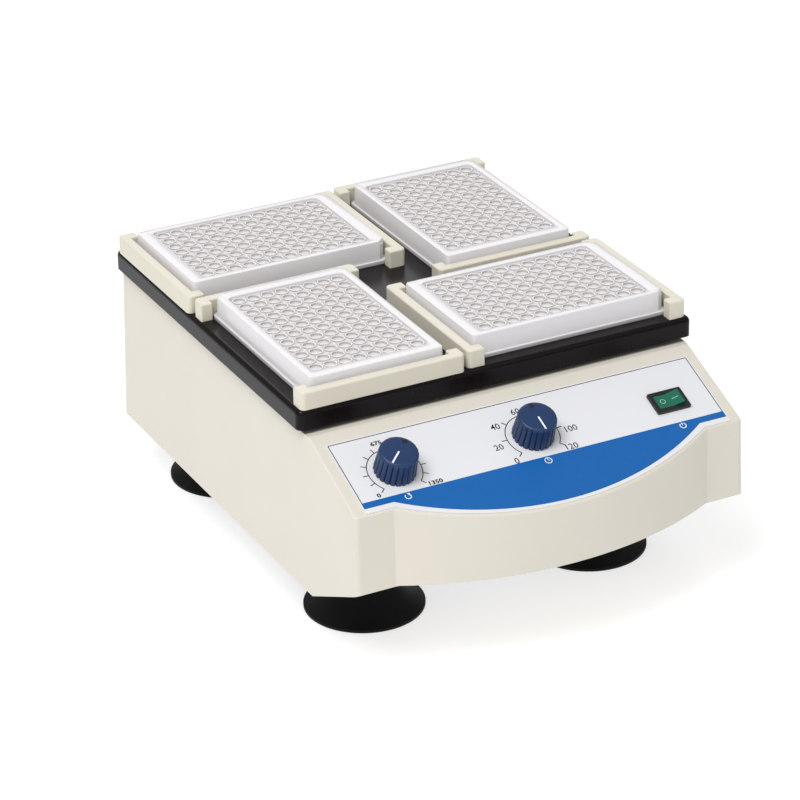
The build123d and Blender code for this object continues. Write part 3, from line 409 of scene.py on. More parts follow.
def print_ink(name, colour, roughness=0.35):
    """Screen-printed ink with a very slight mottle."""
    finish = Finish(name, Specular_IOR_Level=0.25)
    mottle = finish.noise(3 * MM, 4.0)
    finish.set("Base Color", finish.tint(mottle, shade(colour, 0.95), shade(colour, 1.05)))
    finish.set("Roughness", mottle * 0.06 + roughness - 0.03)
    return finish


FINISHES = {}  # filled by the finishes operator before any piece is made


# Mesh making


def new_piece(name, mesh, body, slot, *finishes):
    """An object at the origin that rides on a body; its material indices pick the finishes."""
    piece = bpy.data.objects.new(name, mesh)
    bpy.context.scene.collection.objects.link(piece)
    slots = [face.material_index for face in mesh.polygons]
    mesh.materials.clear()
    for finish in finishes:
        mesh.materials.append(FINISHES[finish].material)
    mesh.polygons.foreach_set("material_index", [min(slot, len(finishes) - 1) for slot in slots])
    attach(piece, body)
    return piece


def to_mesh(bm, name, smooth=True):
    """The finished mesh; the BMesh is freed."""
    mesh = bpy.data.meshes.new(name)
    bm.to_mesh(mesh)
    bm.free()
    for face in mesh.polygons:
        face.use_smooth = smooth
    return mesh


def panel_matrix(hub, height=LABEL_TOP):
    """Takes (right, up the slope, outwards) round a hub on the panel to the shared frame."""
    turn = Matrix((Vector((1, 0, 0)), UP_SLOPE, OUT)).transposed().to_4x4()
    return Matrix.Translation(hub + OUT * height) @ turn


def ring_of(bm, points, height):
    """Points of an outline at one height, not joined yet."""
    return [bm.verts.new((x, y, height)) for x, y in points]


def bridge(bm, lower, upper):
    """A wall of four-sided faces between two rings with as many points."""
    count = len(lower)
    for i in range(count):
        j = (i + 1) % count
        bm.faces.new((lower[i], lower[j], upper[j], upper[i]))


def flat_piece(bm, outline, thickness):
    """A thin closed slab from a flat outline given counter-clockwise."""
    low = ring_of(bm, outline, 0.0)
    high = ring_of(bm, outline, thickness)
    bridge(bm, low, high)
    bmesh.ops.triangulate(bm, faces=[bm.faces.new(high), bm.faces.new(low[::-1])])


def arc(radius, start, stop, steps, centre=(0.0, 0.0)):
    """Points on an arc, angles in radians clockwise from straight up the slope."""
    turns = [start + (stop - start) * i / steps for i in range(steps + 1)]
    return [(centre[0] + radius * sin(t), centre[1] + radius * cos(t)) for t in turns]


def band(bm, radius, width, start, stop, steps, thickness, centre=(0.0, 0.0)):
    """A thin curved strip of even width."""
    outer = arc(radius + width / 2, start, stop, steps, centre)
    inner = arc(radius - width / 2, start, stop, steps, centre)
    for i in range(steps):
        corner = [inner[i], outer[i], outer[i + 1], inner[i + 1]][::-1]
        low = ring_of(bm, corner, 0.0)
        high = ring_of(bm, corner, thickness)
        bridge(bm, low, high)
        bm.faces.new(high)
        bm.faces.new(low[::-1])


def bar(bm, start, stop, width, thickness):
    """A thin straight strip between two points."""
    along = (Vector(stop) - Vector(start)).normalized()
    side = Vector((-along.y, along.x)) * width / 2
    a, b = Vector(start), Vector(stop)
    flat_piece(bm, [tuple(a - side), tuple(b - side), tuple(b + side), tuple(a + side)], thickness)


def finish_closed(bm, distance=1e-7):
    """Merges doubles, then turns every face outwards."""
    bmesh.ops.remove_doubles(bm, verts=bm.verts, dist=distance)
    bmesh.ops.recalc_face_normals(bm, faces=bm.faces)


def put(name, mesh, place, body, slot, finish):
    """A mesh made round the origin becomes a piece in its place."""
    mesh.transform(place)
    return new_piece(name, mesh, body, slot, finish)


def put_print(name, bm, place, body, slot, ink):
    """Thin slabs of print or inlay, closed and put in their place."""
    finish_closed(bm)
    return put(name, to_mesh(bm, name, False), place, body, slot, ink)


def text_mesh(body, size, place, stretch, bold):
    """Figures as a mesh, set round a point, not yet on the panel."""
    curve = bpy.data.curves.new("figure", "FONT")
    curve.body = body
    curve.size = size
    curve.align_x = "CENTER"
    curve.align_y = "CENTER"
    curve.offset = bold
    curve.extrude = 0.01 * MM
    curve.resolution_u = 3
    holder = bpy.data.objects.new("figure", curve)
    bpy.context.scene.collection.objects.link(holder)
    depsgraph = bpy.context.evaluated_depsgraph_get()
    mesh = bpy.data.meshes.new_from_object(holder.evaluated_get(depsgraph))
    bpy.data.objects.remove(holder)
    mesh.transform(Matrix.Translation((*place, 0)) @ Matrix.Diagonal((stretch, 1, 1, 1)))
    return mesh


# Geometry node trees


class Lattice:
    """A Geometry Nodes tree with named number inputs, built node by node."""

    def __init__(self, name, inputs):
        self.tree = bpy.data.node_groups.new(name, "GeometryNodeTree")
        interface = self.tree.interface
        self.keys = {}
        for label, (kind, value) in inputs.items():
            socket = interface.new_socket(label, in_out="INPUT", socket_type="NodeSocket" + kind)
            if kind != "Geometry":
                socket.default_value = value
            self.keys[label] = socket.identifier
        interface.new_socket("Geometry", in_out="OUTPUT", socket_type="NodeSocketGeometry")
        self.entry = self.tree.nodes.new("NodeGroupInput")
        self.exit = self.tree.nodes.new("NodeGroupOutput")

    def given(self, label):
        """The group input of that name."""
        return next(s for s in self.entry.outputs if s.identifier == self.keys[label])

    def node(self, kind, settings=None, inputs=None):
        """Any node, with its settings first and then its sockets' values or links."""
        made = self.tree.nodes.new(kind)
        for key, value in (settings or {}).items():
            setattr(made, key, value)
        for key, value in (inputs or {}).items():
            if isinstance(value, bpy.types.NodeSocket):
                self.tree.links.new(value, made.inputs[key])
            else:
                made.inputs[key].default_value = value
        return made.outputs[0]

    def math(self, operation, first, second):
        return self.node("ShaderNodeMath", {"operation": operation}, {0: first, 1: second})

    def end(self, geometry):
        """Realized, merged where copies meet, and given its finish."""
        real = self.node("GeometryNodeRealizeInstances", {}, {"Geometry": geometry})
        merged = self.node("GeometryNodeMergeByDistance", {}, {"Geometry": real, "Distance": 1e-6})
        finish = self.given("Finish")
        dressed = self.node("GeometryNodeSetMaterial", {}, {"Geometry": merged, "Material": finish})
        self.tree.links.new(dressed, self.exit.inputs[0])

    def run(self, holder, values):
        """Runs the tree on an object with these inputs and returns a plain mesh."""
        modifier = holder.modifiers.new("lattice", "NODES")
        modifier.node_group = self.tree
        for label, value in values.items():
            modifier[self.keys[label]] = value
        depsgraph = bpy.context.evaluated_depsgraph_get()
        mesh = bpy.data.meshes.new_from_object(holder.evaluated_get(depsgraph))
        holder.modifiers.remove(modifier)
        return mesh


def holder_of(mesh):
    """An object that carries a mesh while a tree runs on it."""
    holder = bpy.data.objects.new("holder", mesh)
    bpy.context.scene.collection.objects.link(holder)
    return holder


def well_lattice():
    """Copies of one well cell on a square grid."""
    lattice = Lattice(
        "Well grid",
        {
            "Cell": ("Geometry", None),
            "Columns": ("Int", 12),
            "Rows": ("Int", 8),
            "Pitch": ("Float", 9 * MM),
            "Finish": ("Material", None),
        },
    )
    spans = []
    for label in ("Columns", "Rows"):
        gaps = lattice.math("SUBTRACT", lattice.given(label), 1.0)
        spans.append(lattice.math("MULTIPLY", gaps, lattice.given("Pitch")))
    grid = lattice.node(
        "GeometryNodeMeshGrid",
        {},
        {
            "Size X": spans[0],
            "Size Y": spans[1],
            "Vertices X": lattice.given("Columns"),
            "Vertices Y": lattice.given("Rows"),
        },
    )
    copies = lattice.node(
        "GeometryNodeInstanceOnPoints", {}, {"Points": grid, "Instance": lattice.given("Cell")}
    )
    lattice.end(copies)
    return lattice


def tick_lattice():
    """Copies of one tick turned step by step round a dial."""
    lattice = Lattice(
        "Dial ticks",
        {
            "Tick": ("Geometry", None),
            "Count": ("Int", 11),
            "First Turn": ("Float", 0.0),
            "Step": ("Float", 0.4),
            "Finish": ("Material", None),
        },
    )
    count = lattice.given("Count")
    line = lattice.node("GeometryNodeMeshLine", {}, {"Count": count, "Offset": (0, 0, 0)})
    index = lattice.node("GeometryNodeInputIndex")
    turned = lattice.math("MULTIPLY", index, lattice.given("Step"))
    angle = lattice.math("ADD", turned, lattice.given("First Turn"))
    spin = lattice.node("ShaderNodeCombineXYZ", {}, {"Z": angle})
    copies = lattice.node(
        "GeometryNodeInstanceOnPoints",
        {},
        {"Points": line, "Instance": lattice.given("Tick"), "Rotation": spin},
    )
    lattice.end(copies)
    return lattice


# Sizes and colours that a user would change


class ShakerSizes(bpy.types.PropertyGroup):
    """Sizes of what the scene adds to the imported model."""

    well_segments: bpy.props.IntProperty(
        name="Well segments", description="Faces round one well, a multiple of four", default=16, min=8
    )
    ink: bpy.props.FloatProperty(
        name="Ink",
        description="Thickness of the print on the panel",
        default=0.03 * MM,
        unit="LENGTH",
        precision=5,
    )
    dial_radius: bpy.props.FloatProperty(
        name="Dial radius",
        description="Radius of the arc printed round a knob",
        default=15.6 * MM,
        unit="LENGTH",
    )
    knob_flutes: bpy.props.IntProperty(
        name="Knob flutes", description="Grooves round a knob", default=22, min=6
    )
    flute_depth: bpy.props.FloatProperty(
        name="Flute depth", description="Depth of a knob's grooves", default=0.95 * MM, unit="LENGTH"
    )
    floor: bpy.props.FloatProperty(
        name="Floor", description="Width of the floor", default=12.0, unit="LENGTH"
    )


class ShakerColours(bpy.types.PropertyGroup):
    """Colours of the finishes, as linear light."""

    ivory: bpy.props.FloatVectorProperty(
        name="Ivory", description="Moulded body", default=(0.665, 0.63, 0.55), subtype="COLOR", size=3
    )
    bracket: bpy.props.FloatVectorProperty(
        name="Bracket", description="Plate brackets", default=(0.66, 0.625, 0.52), subtype="COLOR", size=3
    )
    plate: bpy.props.FloatVectorProperty(
        name="Plate",
        description="Rim and skirt of a plate",
        default=(0.69, 0.672, 0.685),
        subtype="COLOR",
        size=3,
    )
    well: bpy.props.FloatVectorProperty(
        name="Well", description="Inside of a well", default=(0.66, 0.625, 0.615), subtype="COLOR", size=3
    )
    blue: bpy.props.FloatVectorProperty(
        name="Blue",
        description="Band printed along the panel",
        default=(0.007, 0.112, 0.38),
        subtype="COLOR",
        size=3,
    )
    knob: bpy.props.FloatVectorProperty(
        name="Knob", description="Dial knobs", default=(0.0035, 0.027, 0.10), subtype="COLOR", size=3
    )
    rocker: bpy.props.FloatVectorProperty(
        name="Rocker", description="Power rocker", default=(0.003, 0.12, 0.066), subtype="COLOR", size=3
    )


class SHAKER_OT_finishes(bpy.types.Operator):
    """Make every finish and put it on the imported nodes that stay"""

    bl_idname = "shaker.finishes"
    bl_label = "Finishes"

    def execute(self, context):
        tones = context.scene.shaker_colours
        make = {
            "ivory_shell": moulded("Ivory shell", tones.ivory, 0.38, coat=0.15),
            "bracket_ivory": moulded("Bracket ivory", tones.bracket, 0.4, coat=0.12),
            "black_tray": coated("Black tray", (0.0055, 0.0035, 0.0042), 0.24),
            "plate_white": moulded("Plate white", tones.plate, 0.25, grain=2 * MM, coat=0.4, spread=0.01),
            "plate_well": polystyrene("Plate wells", tones.plate, tones.well),
            "label": moulded(
                "Panel film",
                (0.71, 0.715, 0.74),
                0.32,
                grain=0.8 * MM,
                depth=0.004 * MM,
                coat=0.2,
                spread=0.01,
            ),
            "knob_blue": moulded("Knob blue", tones.knob, 0.42, grain=0.4 * MM, depth=0.02 * MM),
            "rocker_green": moulded("Rocker green", tones.rocker, 0.25, grain=3 * MM, coat=0.25),
            "black_plastic": moulded("Black plastic", (0.006, 0.006, 0.007), 0.4),
            "black_rubber": rubber("Black rubber", (0.003, 0.0026, 0.003)),
            "zinc_steel": metal("Zinc steel", (0.62, 0.63, 0.65), 0.38),
            "steel": metal("Turned steel", (0.55, 0.55, 0.57), 0.3, (1, 1, 9)),
            "alloy": metal("Machined alloy", (0.70, 0.71, 0.72), 0.36, (1, 1, 6)),
            "bronze": metal("Sintered bronze", (0.52, 0.34, 0.16), 0.45),
            "board_green": moulded("Board green", (0.010, 0.11, 0.045), 0.3, grain=1.5 * MM, coat=0.4),
            "board_black": moulded("Component black", (0.02, 0.02, 0.022), 0.35),
            "iron": metal("Laminated iron", (0.20, 0.20, 0.21), 0.5, (1, 1, 30)),
            "fuse_glass": moulded("Fuse glass", (0.62, 0.68, 0.68), 0.12, coat=0.8),
            "ink_blue": print_ink("Blue ink", tones.blue),
            "ink_white": print_ink("White ink", (0.84, 0.87, 0.93)),
            "ink_pale": print_ink("Pale mark", (0.30, 0.62, 0.50)),
            # Dark ink for the panel's print, also used as painted shade for the holes in the knobs' caps.
            "ink_black": print_ink("Dark ink and painted shade", (0.016, 0.016, 0.024), 0.5),
        }
        FINISHES.update(make)
        slots = {part["node"]: part["material_slot"] for part in frame["record"]["subparts"]}
        for node, piece in frame["nodes"].items():
            piece.data.materials.clear()
            piece.data.materials.append(FINISHES[slots[node]].material)
        return {"FINISHED"}


def well_cell(segments):
    """One square of a plate's deck with its well: a lip, a tapered bore and a closed tube under it."""
    bm = bmesh.new()
    # Each point's painted-light value: painted shade, painted highlight or painted glow in the wells' finish.
    painted_light = bm.verts.layers.float.new("well_tone")
    half = WELL_PITCH * MM / 2
    corners = [(half, half), (-half, half), (-half, -half), (half, -half)]

    def circle(radius, height, value):
        turns = [2 * pi * i / segments for i in range(segments)]
        ring = ring_of(bm, [(radius * cos(t) * MM, radius * sin(t) * MM) for t in turns], height * MM)
        for vert in ring:
            vert[painted_light] = value
        return ring

    def side(height, rings, flip):
        """Joins the square's corners to the first ring, and the rings to each other."""
        square = ring_of(bm, corners, height * MM)
        for vert in square:
            vert[painted_light] = DECK_PAINTED_LIGHT
        quarter = segments // 4
        faces = []
        first = rings[0]
        for k, corner in enumerate(square):
            for i in range(k * quarter, (k + 1) * quarter):
                faces.append((corner, first[(i + 1) % segments], first[i]))
            last = first[((k + 1) * quarter) % segments]
            faces.append((corner, square[(k + 1) % 4], last))
        for low, high in zip(rings, rings[1:]):
            for i in range(segments):
                j = (i + 1) % segments
                faces.append((low[i], low[j], high[j], high[i]))
        faces.append(tuple(rings[-1]))
        for face in faces:
            bm.faces.new(face[::-1] if flip else face)

    side(0.0, [circle(*ring) for ring in WELL_BORE], False)
    side(-DECK_THICK, [circle(*ring) for ring in WELL_TUBE], True)
    bmesh.ops.recalc_face_normals(bm, faces=bm.faces)
    return to_mesh(bm, "well_cell")


def rounded_rectangle(half_x, half_y, radius, clip=0.0):
    """Counter-clockwise outline; clip cuts two corners on the +X side straight across."""
    steps = 6
    points = []
    for sx, sy, start in ((1, 1, 0), (-1, 1, 90), (-1, -1, 180), (1, -1, 270)):
        cut = sx > 0 and clip > 0
        reach = max(radius, clip) if cut else radius
        turns = [radians(start + 90 * i / steps) for i in range(steps + 1)]
        corner = [Vector((reach * cos(t), reach * sin(t))) for t in turns]
        if cut:
            corner = [corner[0].lerp(corner[-1], i / steps) for i in range(steps + 1)]
        points.extend((sx * (half_x - reach) + at.x, sy * (half_y - reach) + at.y) for at in corner)
    return points


class SHAKER_OT_plates(bpy.types.Operator):
    """Make the four 96-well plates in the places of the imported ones"""

    bl_idname = "shaker.plates"
    bl_label = "Plates"

    def execute(self, context):
        sizes = context.scene.shaker_sizes
        bodies = frame["record"]["behaviour"]["bodies"]
        form = self.plate(self.wells(sizes.well_segments))
        for node in sorted(n for n in frame["nodes"] if n.startswith("microplate_")):
            low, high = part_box(node)
            centre = (Vector(low) + Vector(high)) / 2
            turned = high[1] - low[1] > high[0] - low[0]
            mesh = form.copy()
            place = Matrix.Translation((centre.x, centre.y, low[2]))
            if turned:
                place = place @ Matrix.Rotation(pi / 2, 4, "Z")
            mesh.transform(place)
            body = next(name for name, members in bodies.items() if node in members)
            name = node.replace("microplate_", "plate_")
            piece = new_piece(name, mesh, body, "plate_white", "plate_white", "plate_well")
            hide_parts(node)
        return {"FINISHED"}

    def wells(self, segments):
        """The deck's field of wells, with its top at z = 0."""
        cell = holder_of(well_cell(segments))
        values = {
            "Columns": COLUMNS,
            "Rows": ROWS,
            "Pitch": WELL_PITCH * MM,
            "Finish": FINISHES["plate_well"].material,
        }
        wells = well_lattice().run(cell, values)
        bpy.data.objects.remove(cell)
        return wells

    def plate(self, wells):
        """A plate round the origin, standing on z = 0: skirt, wall, rim, sunk deck and wells."""
        bm = bmesh.new()
        painted_light = bm.verts.layers.float.new("well_tone")

        def loop(half_x, half_y, radius, z, clip=0.0):
            outline = rounded_rectangle(half_x * MM, half_y * MM, radius * MM, clip * MM)
            return ring_of(bm, outline, z * MM)

        half_x, half_y = PLATE_LENGTH / 2, PLATE_WIDTH / 2
        outside = []
        for inset, radius, z in PLATE_OUTSIDE:
            clip = WALL_CLIP if z > FLANGE_TOP else 0.0
            outside.append(loop(half_x - inset, half_y - inset, radius, z, clip))
        for gap, radius, z in RIM_INSIDE:
            outside.append(loop(FIELD_X + gap, FIELD_Y + gap, radius, z))
        inside = [loop(half_x - inset, half_y - inset, radius, z) for inset, radius, z in SKIRT_INSIDE]
        for low, high in zip(outside, outside[1:]):
            bridge(bm, low, high)
        bridge(bm, inside[0], outside[0])
        bridge(bm, inside[1], inside[0])
        self.fill(bm, outside[-1], DECK_TOP)
        self.fill(bm, inside[1], DECK_TOP - DECK_THICK)
        # The frame's points get the wall's painted-light value, which the wells' finish reads where the field of
        # wells meets the frame.
        for vert in bm.verts:
            vert[painted_light] = WALL_PAINTED_LIGHT
        raised = wells.copy()
        raised.transform(Matrix.Translation((0, 0, DECK_TOP * MM)))
        count = len(bm.faces)
        bm.from_mesh(raised)
        bm.faces.ensure_lookup_table()
        for face in bm.faces[count:]:
            face.material_index = 1
        finish_closed(bm, 1e-6)
        mesh = to_mesh(bm, "plate")
        mesh.set_sharp_from_angle(angle=PLATE_SHARP)
        return mesh

    def fill(self, bm, ring, z):
        """The flat strip between a loop and the edge of the well field, with a point at each cell."""
        xs = [-FIELD_X + WELL_PITCH * i for i in range(COLUMNS)]
        ys = [-FIELD_Y + WELL_PITCH * i for i in range(ROWS)]
        field = [(x, -FIELD_Y) for x in xs] + [(FIELD_X, y) for y in ys]
        field += [(-x, -y) for x, y in field]
        hole = ring_of(bm, [(x * MM, y * MM) for x, y in field], z * MM)
        edges = []
        for loop in (ring, hole):
            for a, b in zip(loop, loop[1:] + loop[:1]):
                edges.append(bm.edges.get((a, b)) or bm.edges.new((a, b)))
        bmesh.ops.triangle_fill(bm, edges=edges, use_beauty=True)


class SHAKER_OT_knobs(bpy.types.Operator):
    """Make the two fluted knobs with their pointers"""

    bl_idname = "shaker.knobs"
    bl_label = "Knobs"

    def execute(self, context):
        sizes = context.scene.shaker_sizes
        for name, hub, body, pointer in KNOBS:
            place = panel_matrix(hub, 0.0)
            top = place @ Matrix.Translation((0, 0, KNOB_TOP * MM))
            piece = put(name + "_fluted", self.body(sizes), place, body, "knob_blue", "knob_blue")
            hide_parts(name)
            turn = radians(pointer)
            tip = Vector((sin(turn), cos(turn)))
            bm = bmesh.new()
            bar(bm, tip * POINTER_START, tip * POINTER_END, POINTER_WIDTH, POINTER_THICK)
            put_print(name + "_pointer", bm, top, body, "label", "ink_white")
            # A flat disk of dark ink, painted shade where the knob's cap has a hole.
            bm = bmesh.new()
            circle = arc(HOLE_SHADE_RADIUS, 2 * pi, 0, 23, tuple(-tip * HOLE_SHADE_REACH))
            flat_piece(bm, circle[:-1], HOLE_SHADE_THICK)
            put_print(name + "_mark", bm, top, body, "knob_blue", "ink_black")
        return {"FINISHED"}

    def body(self, sizes):
        """Rings of points whose radius dips at every flute."""
        count = sizes.knob_flutes * POINTS_PER_FLUTE
        turns = [2 * pi * i / count for i in range(count)]
        waves = [max(0.0, cos(sizes.knob_flutes * t)) ** 2 for t in turns]
        bm = bmesh.new()
        rings = []
        for radius, height, share in KNOB_BORE + KNOB_OUTSIDE:
            reaches = [radius * MM - sizes.flute_depth * share * wave for wave in waves]
            outline = [(reach * cos(t), reach * sin(t)) for reach, t in zip(reaches, turns)]
            rings.append(ring_of(bm, outline, height * MM))
        for low, high in zip(rings, rings[1:]):
            bridge(bm, low, high)
        bm.faces.new(rings[-1])
        bm.faces.new(rings[0][::-1])
        bmesh.ops.recalc_face_normals(bm, faces=bm.faces)
        mesh = to_mesh(bm, "knob")
        mesh.set_sharp_from_angle(angle=KNOB_SHARP)
        return mesh


class SHAKER_OT_panel_print(bpy.types.Operator):
    """Print the panel: blue band, border, dials, figures and plain signs"""

    bl_idname = "shaker.panel_print"
    bl_label = "Panel print"

    def execute(self, context):
        sizes = context.scene.shaker_sizes
        ink = sizes.ink
        middle = panel_matrix(TIMER_HUB)
        self.band(ink, middle)
        self.border(ink, middle)
        ticks = tick_lattice()
        for dial in DIALS:
            self.dial(dial, ticks, sizes.dial_radius, ink)
        self.signs(ink, middle)
        return {"FINISHED"}

    def dial(self, dial, ticks, reach, ink):
        """The arc round one knob, its ticks and its figures."""
        name = dial["name"]
        place = panel_matrix(dial["hub"])
        first, last = radians(dial["first"]), radians(dial["last"])
        bm = bmesh.new()
        band(bm, reach, DIAL_LINE, first, last, 72, ink)
        put_print(name + "_dial_line", bm, place, "base", "label", "ink_black")
        bm = bmesh.new()
        bar(bm, (0, reach), (0, reach + TICK_LENGTH), TICK_WIDTH, ink)
        finish_closed(bm)
        tick = holder_of(to_mesh(bm, "tick", False))
        values = {
            "Count": dial["ticks"],
            "First Turn": -first,
            "Step": (first - last) / (dial["ticks"] - 1),
            "Finish": FINISHES["ink_black"].material,
        }
        made = ticks.run(tick, values)
        bpy.data.objects.remove(tick)
        put(name + "_dial_ticks", made, place, "base", "label", "ink_black")
        bm = bmesh.new()
        for text, x, y in dial["figures"]:
            middle = (x * MM, y * MM)
            bm.from_mesh(text_mesh(text, dial["size"] * MM, middle, dial["stretch"], dial["bold"] * MM))
        lifted = place @ Matrix.Translation((0, 0, FIGURE_LIFT))
        put(name + "_figures", to_mesh(bm, name + "_figures", False), lifted, "base", "label", "ink_black")

    def band(self, ink, place):
        """The blue band: straight above, bowed below."""
        radius = (BOW_HALF**2 + BOW_DEPTH**2) / (2 * BOW_DEPTH)
        swing = [-BOW_HALF + 2 * BOW_HALF * i / BOW_STEPS for i in range(BOW_STEPS + 1)]
        sag = [(x, BAND_FOOT - BOW_DEPTH + radius - (radius**2 - x**2) ** 0.5) for x in swing]
        bm = bmesh.new()
        columns = []
        for x, y in ((-BAND_HALF, BAND_FOOT), *sag, (BAND_HALF, BAND_FOOT)):
            points = [(x * MM, y * MM), (x * MM, BAND_TOP * MM)]
            columns.append((ring_of(bm, points, 0.0), ring_of(bm, points, ink)))
        for (low_a, high_a), (low_b, high_b) in zip(columns, columns[1:]):
            bm.faces.new((high_a[0], high_b[0], high_b[1], high_a[1]))
            bm.faces.new((low_a[1], low_b[1], low_b[0], low_a[0]))
            bm.faces.new((low_a[0], low_b[0], high_b[0], high_a[0]))
            bm.faces.new((high_a[1], high_b[1], low_b[1], low_a[1]))
        for low, high in (columns[0], columns[-1]):
            bm.faces.new((low[0], low[1], high[1], high[0]))
        put_print("blue_band", bm, place, "base", "label", "ink_blue")

    def border(self, ink, place):
        """The thin dark line round three sides of the white field."""
        corners = (
            (-BORDER_HALF, BAND_TOP),
            (-BORDER_HALF, BORDER_TOP),
            (BORDER_HALF, BORDER_TOP),
            (BORDER_HALF, BAND_TOP),
        )
        bm = bmesh.new()
        for start, stop in zip(corners, corners[1:]):
            bar(bm, Vector(start) * MM, Vector(stop) * MM, BORDER_WIDTH * MM, ink)
        put_print("border_line", bm, place, "base", "label", "ink_black")

    def signs(self, ink, place):
        """Plain white signs on the band: a turning arrow, a clock and a power mark."""
        bm = bmesh.new()
        self.arrow_sign(bm, *ARROW_PLACE, ink)
        self.clock_sign(bm, *CLOCK_PLACE, ink)
        self.power_sign(bm, *POWER_PLACE, ink)
        bmesh.ops.recalc_face_normals(bm, faces=bm.faces)
        lifted = place @ Matrix.Translation((0, 0, ink))
        put("panel_signs", to_mesh(bm, "panel_signs", False), lifted, "base", "label", "ink_white")

    def arrow_sign(self, bm, x, y, ink):
        radius, start = 1.7 * MM, radians(40)
        band(bm, radius, 0.5 * MM, start, 2 * pi - start, 24, ink, (x, y))
        tip = Vector((x + radius * sin(start), y + radius * cos(start)))
        head = (Vector((-1.1, 0.9)), Vector((0.1, -1.0)), Vector((0.9, 0.7)))
        flat_piece(bm, [tuple(tip + corner * MM) for corner in head], ink)

    def clock_sign(self, bm, x, y, ink):
        band(bm, 2.0 * MM, 0.45 * MM, 0, 2 * pi, 32, ink, (x, y))
        bar(bm, (x, y - 0.2 * MM), (x, y + 1.4 * MM), 0.4 * MM, ink)
        bar(bm, (x - 0.2 * MM, y), (x + 1.1 * MM, y), 0.4 * MM, ink)

    def power_sign(self, bm, x, y, ink):
        start = radians(35)
        band(bm, 1.8 * MM, 0.5 * MM, start, 2 * pi - start, 24, ink, (x, y))
        bar(bm, (x, y + 0.3 * MM), (x, y + 2.2 * MM), 0.5 * MM, ink)


class SHAKER_OT_rocker_marks(bpy.types.Operator):
    """Put the O and I on the two halves of the rocker"""

    bl_idname = "shaker.rocker_marks"
    bl_label = "Rocker marks"

    def execute(self, context):
        pivot = panel_matrix(Vector(JOINTS["rocker_tip"]["pos_m"]), 0.0)
        pivot = pivot @ Matrix.Rotation(ROCKER_TILT, 4, "Y")
        thick = 0.05 * MM
        for name, side in (("mark_off", -1), ("mark_on", 1)):
            slope = Matrix.Rotation(-side * (ROCKER_END - ROCKER_MIDDLE) / ROCKER_HALF, 4, "Y")
            height = (ROCKER_END + ROCKER_MIDDLE) / 2 + 0.01 * MM
            seat = Matrix.Translation((side * ROCKER_HALF / 2, 0, height))
            bm = bmesh.new()
            if side < 0:
                band(bm, 1.5 * MM, 0.35 * MM, 0, 2 * pi, 32, thick)
            else:
                bar(bm, (-1.9 * MM, 0), (1.9 * MM, 0), 0.4 * MM, thick)
            put_print(name, bm, pivot @ seat @ slope, "rocker", "rocker_green", "ink_pale")
        return {"FINISHED"}


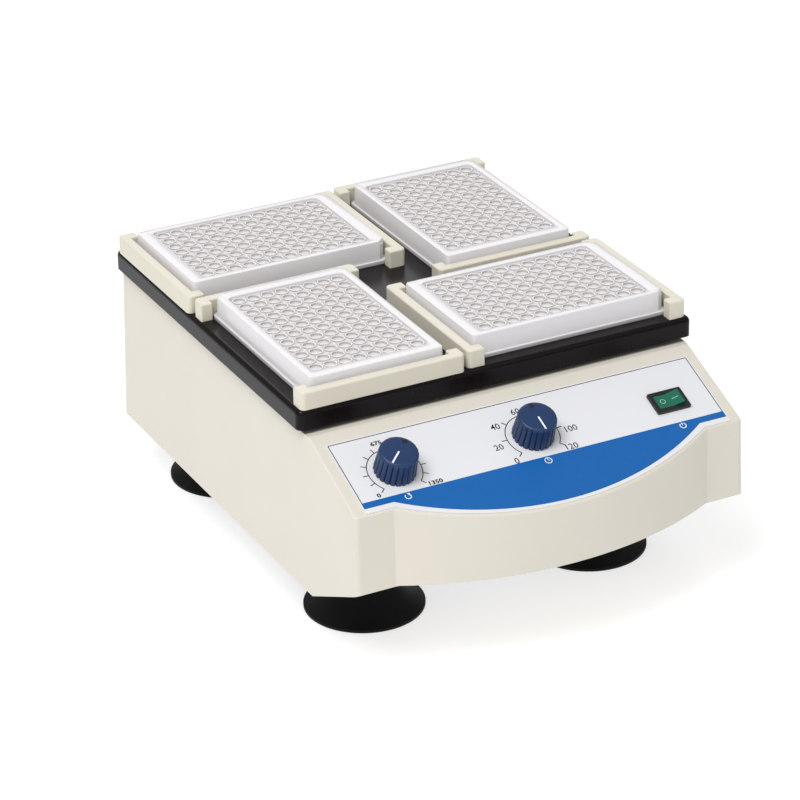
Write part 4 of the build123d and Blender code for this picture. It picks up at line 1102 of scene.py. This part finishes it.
class SHAKER_OT_stage(bpy.types.Operator):
    """Set the camera, the lights, the pale floor and the sky"""

    bl_idname = "shaker.stage"
    bl_label = "Stage"

    def execute(self, context):
        scene = context.scene
        self.camera(scene)
        self.floor(scene)
        for name, place, size, power, aim in LAMPS:
            lamp = bpy.data.lights.new(name, "AREA")
            lamp.energy = power
            lamp.size = size
            holder = bpy.data.objects.new(name, lamp)
            scene.collection.objects.link(holder)
            holder.location = place
            holder.rotation_euler = (Vector(aim) - Vector(place)).to_track_quat("-Z", "Y").to_euler()
        world = bpy.data.worlds.new("Studio")
        scene.world = world
        world.use_nodes = True
        sky = world.node_tree.nodes["Background"]
        sky.inputs["Color"].default_value = (1.0, 1.0, 1.0, 1)
        sky.inputs["Strength"].default_value = SKY_STRENGTH
        scene.view_settings.view_transform = "Standard"
        scene.view_settings.look = "None"
        return {"FINISHED"}

    def floor(self, scene):
        """A pale floor that glows a little, so that it comes out white."""
        half = scene.shaker_sizes.floor / 2
        corners = ((-half, -half), (half, -half), (half, half), (-half, half))
        mesh = bpy.data.meshes.new("floor")
        mesh.from_pydata([(x, y, -FLOOR_DROP) for x, y in corners], [], [(0, 1, 2, 3)])
        floor = bpy.data.objects.new("floor", mesh)
        scene.collection.objects.link(floor)
        glow = {"Emission_Color": (1, 1, 1, 1), "Emission_Strength": FLOOR_GLOW}
        paper = Finish("Pale floor", Roughness=0.9, **glow)
        paper.set("Base Color", paper.tint(paper.noise(0.4), (0.49, 0.49, 0.49), (0.51, 0.51, 0.51)))
        mesh.materials.append(paper.material)

    def camera(self, scene):
        """The photograph's viewpoint, tilted a little round its own axis as the photograph is."""
        turn, lift, roll = CAMERA_TURN, CAMERA_LIFT, CAMERA_ROLL
        back = Vector((sin(turn) * cos(lift), -cos(turn) * cos(lift), sin(lift)))
        right = Vector((cos(turn), sin(turn), 0))
        up = back.cross(right)
        across = right * cos(roll) + up * sin(roll)
        upward = up * cos(roll) - right * sin(roll)
        lens = bpy.data.cameras.new("camera")
        lens.sensor_width = SENSOR
        lens.lens = FOCAL_PIXELS / PICTURE_PIXELS * SENSOR
        lens.clip_start = 0.05
        lens.clip_end = 60.0
        camera = bpy.data.objects.new("camera", lens)
        scene.collection.objects.link(camera)
        axes = Matrix((across, upward, back)).transposed().to_4x4()
        camera.matrix_world = Matrix.Translation(CAMERA_AIM + back * CAMERA_DISTANCE) @ axes
        scene.camera = camera


class SHAKER_PT_panel(bpy.types.Panel):
    """Buttons and values of the shaker in the sidebar"""

    bl_label = "Microplate shaker"
    bl_idname = "SHAKER_PT_panel"
    bl_space_type = "VIEW_3D"
    bl_region_type = "UI"
    bl_category = "Shaker"

    def draw(self, context):
        for group in (context.scene.shaker_sizes, context.scene.shaker_colours):
            for key in group.__annotations__:
                self.layout.prop(group, key)
        for step in STEPS:
            self.layout.operator(step.bl_idname)


STEPS = (
    SHAKER_OT_stage,
    SHAKER_OT_finishes,
    SHAKER_OT_plates,
    SHAKER_OT_knobs,
    SHAKER_OT_panel_print,
    SHAKER_OT_rocker_marks,
)
CLASSES = (ShakerSizes, ShakerColours, *STEPS, SHAKER_PT_panel)


def register():
    for entry in CLASSES:
        bpy.utils.register_class(entry)
    bpy.types.Scene.shaker_sizes = bpy.props.PointerProperty(type=ShakerSizes)
    bpy.types.Scene.shaker_colours = bpy.props.PointerProperty(type=ShakerColours)


def unregister():
    del bpy.types.Scene.shaker_colours
    del bpy.types.Scene.shaker_sizes
    for entry in reversed(CLASSES):
        bpy.utils.unregister_class(entry)


def main():
    register()
    for step in STEPS:
        area, name = step.bl_idname.split(".")
        getattr(getattr(bpy.ops, area), name)()


if __name__ == "__main__":
    main()
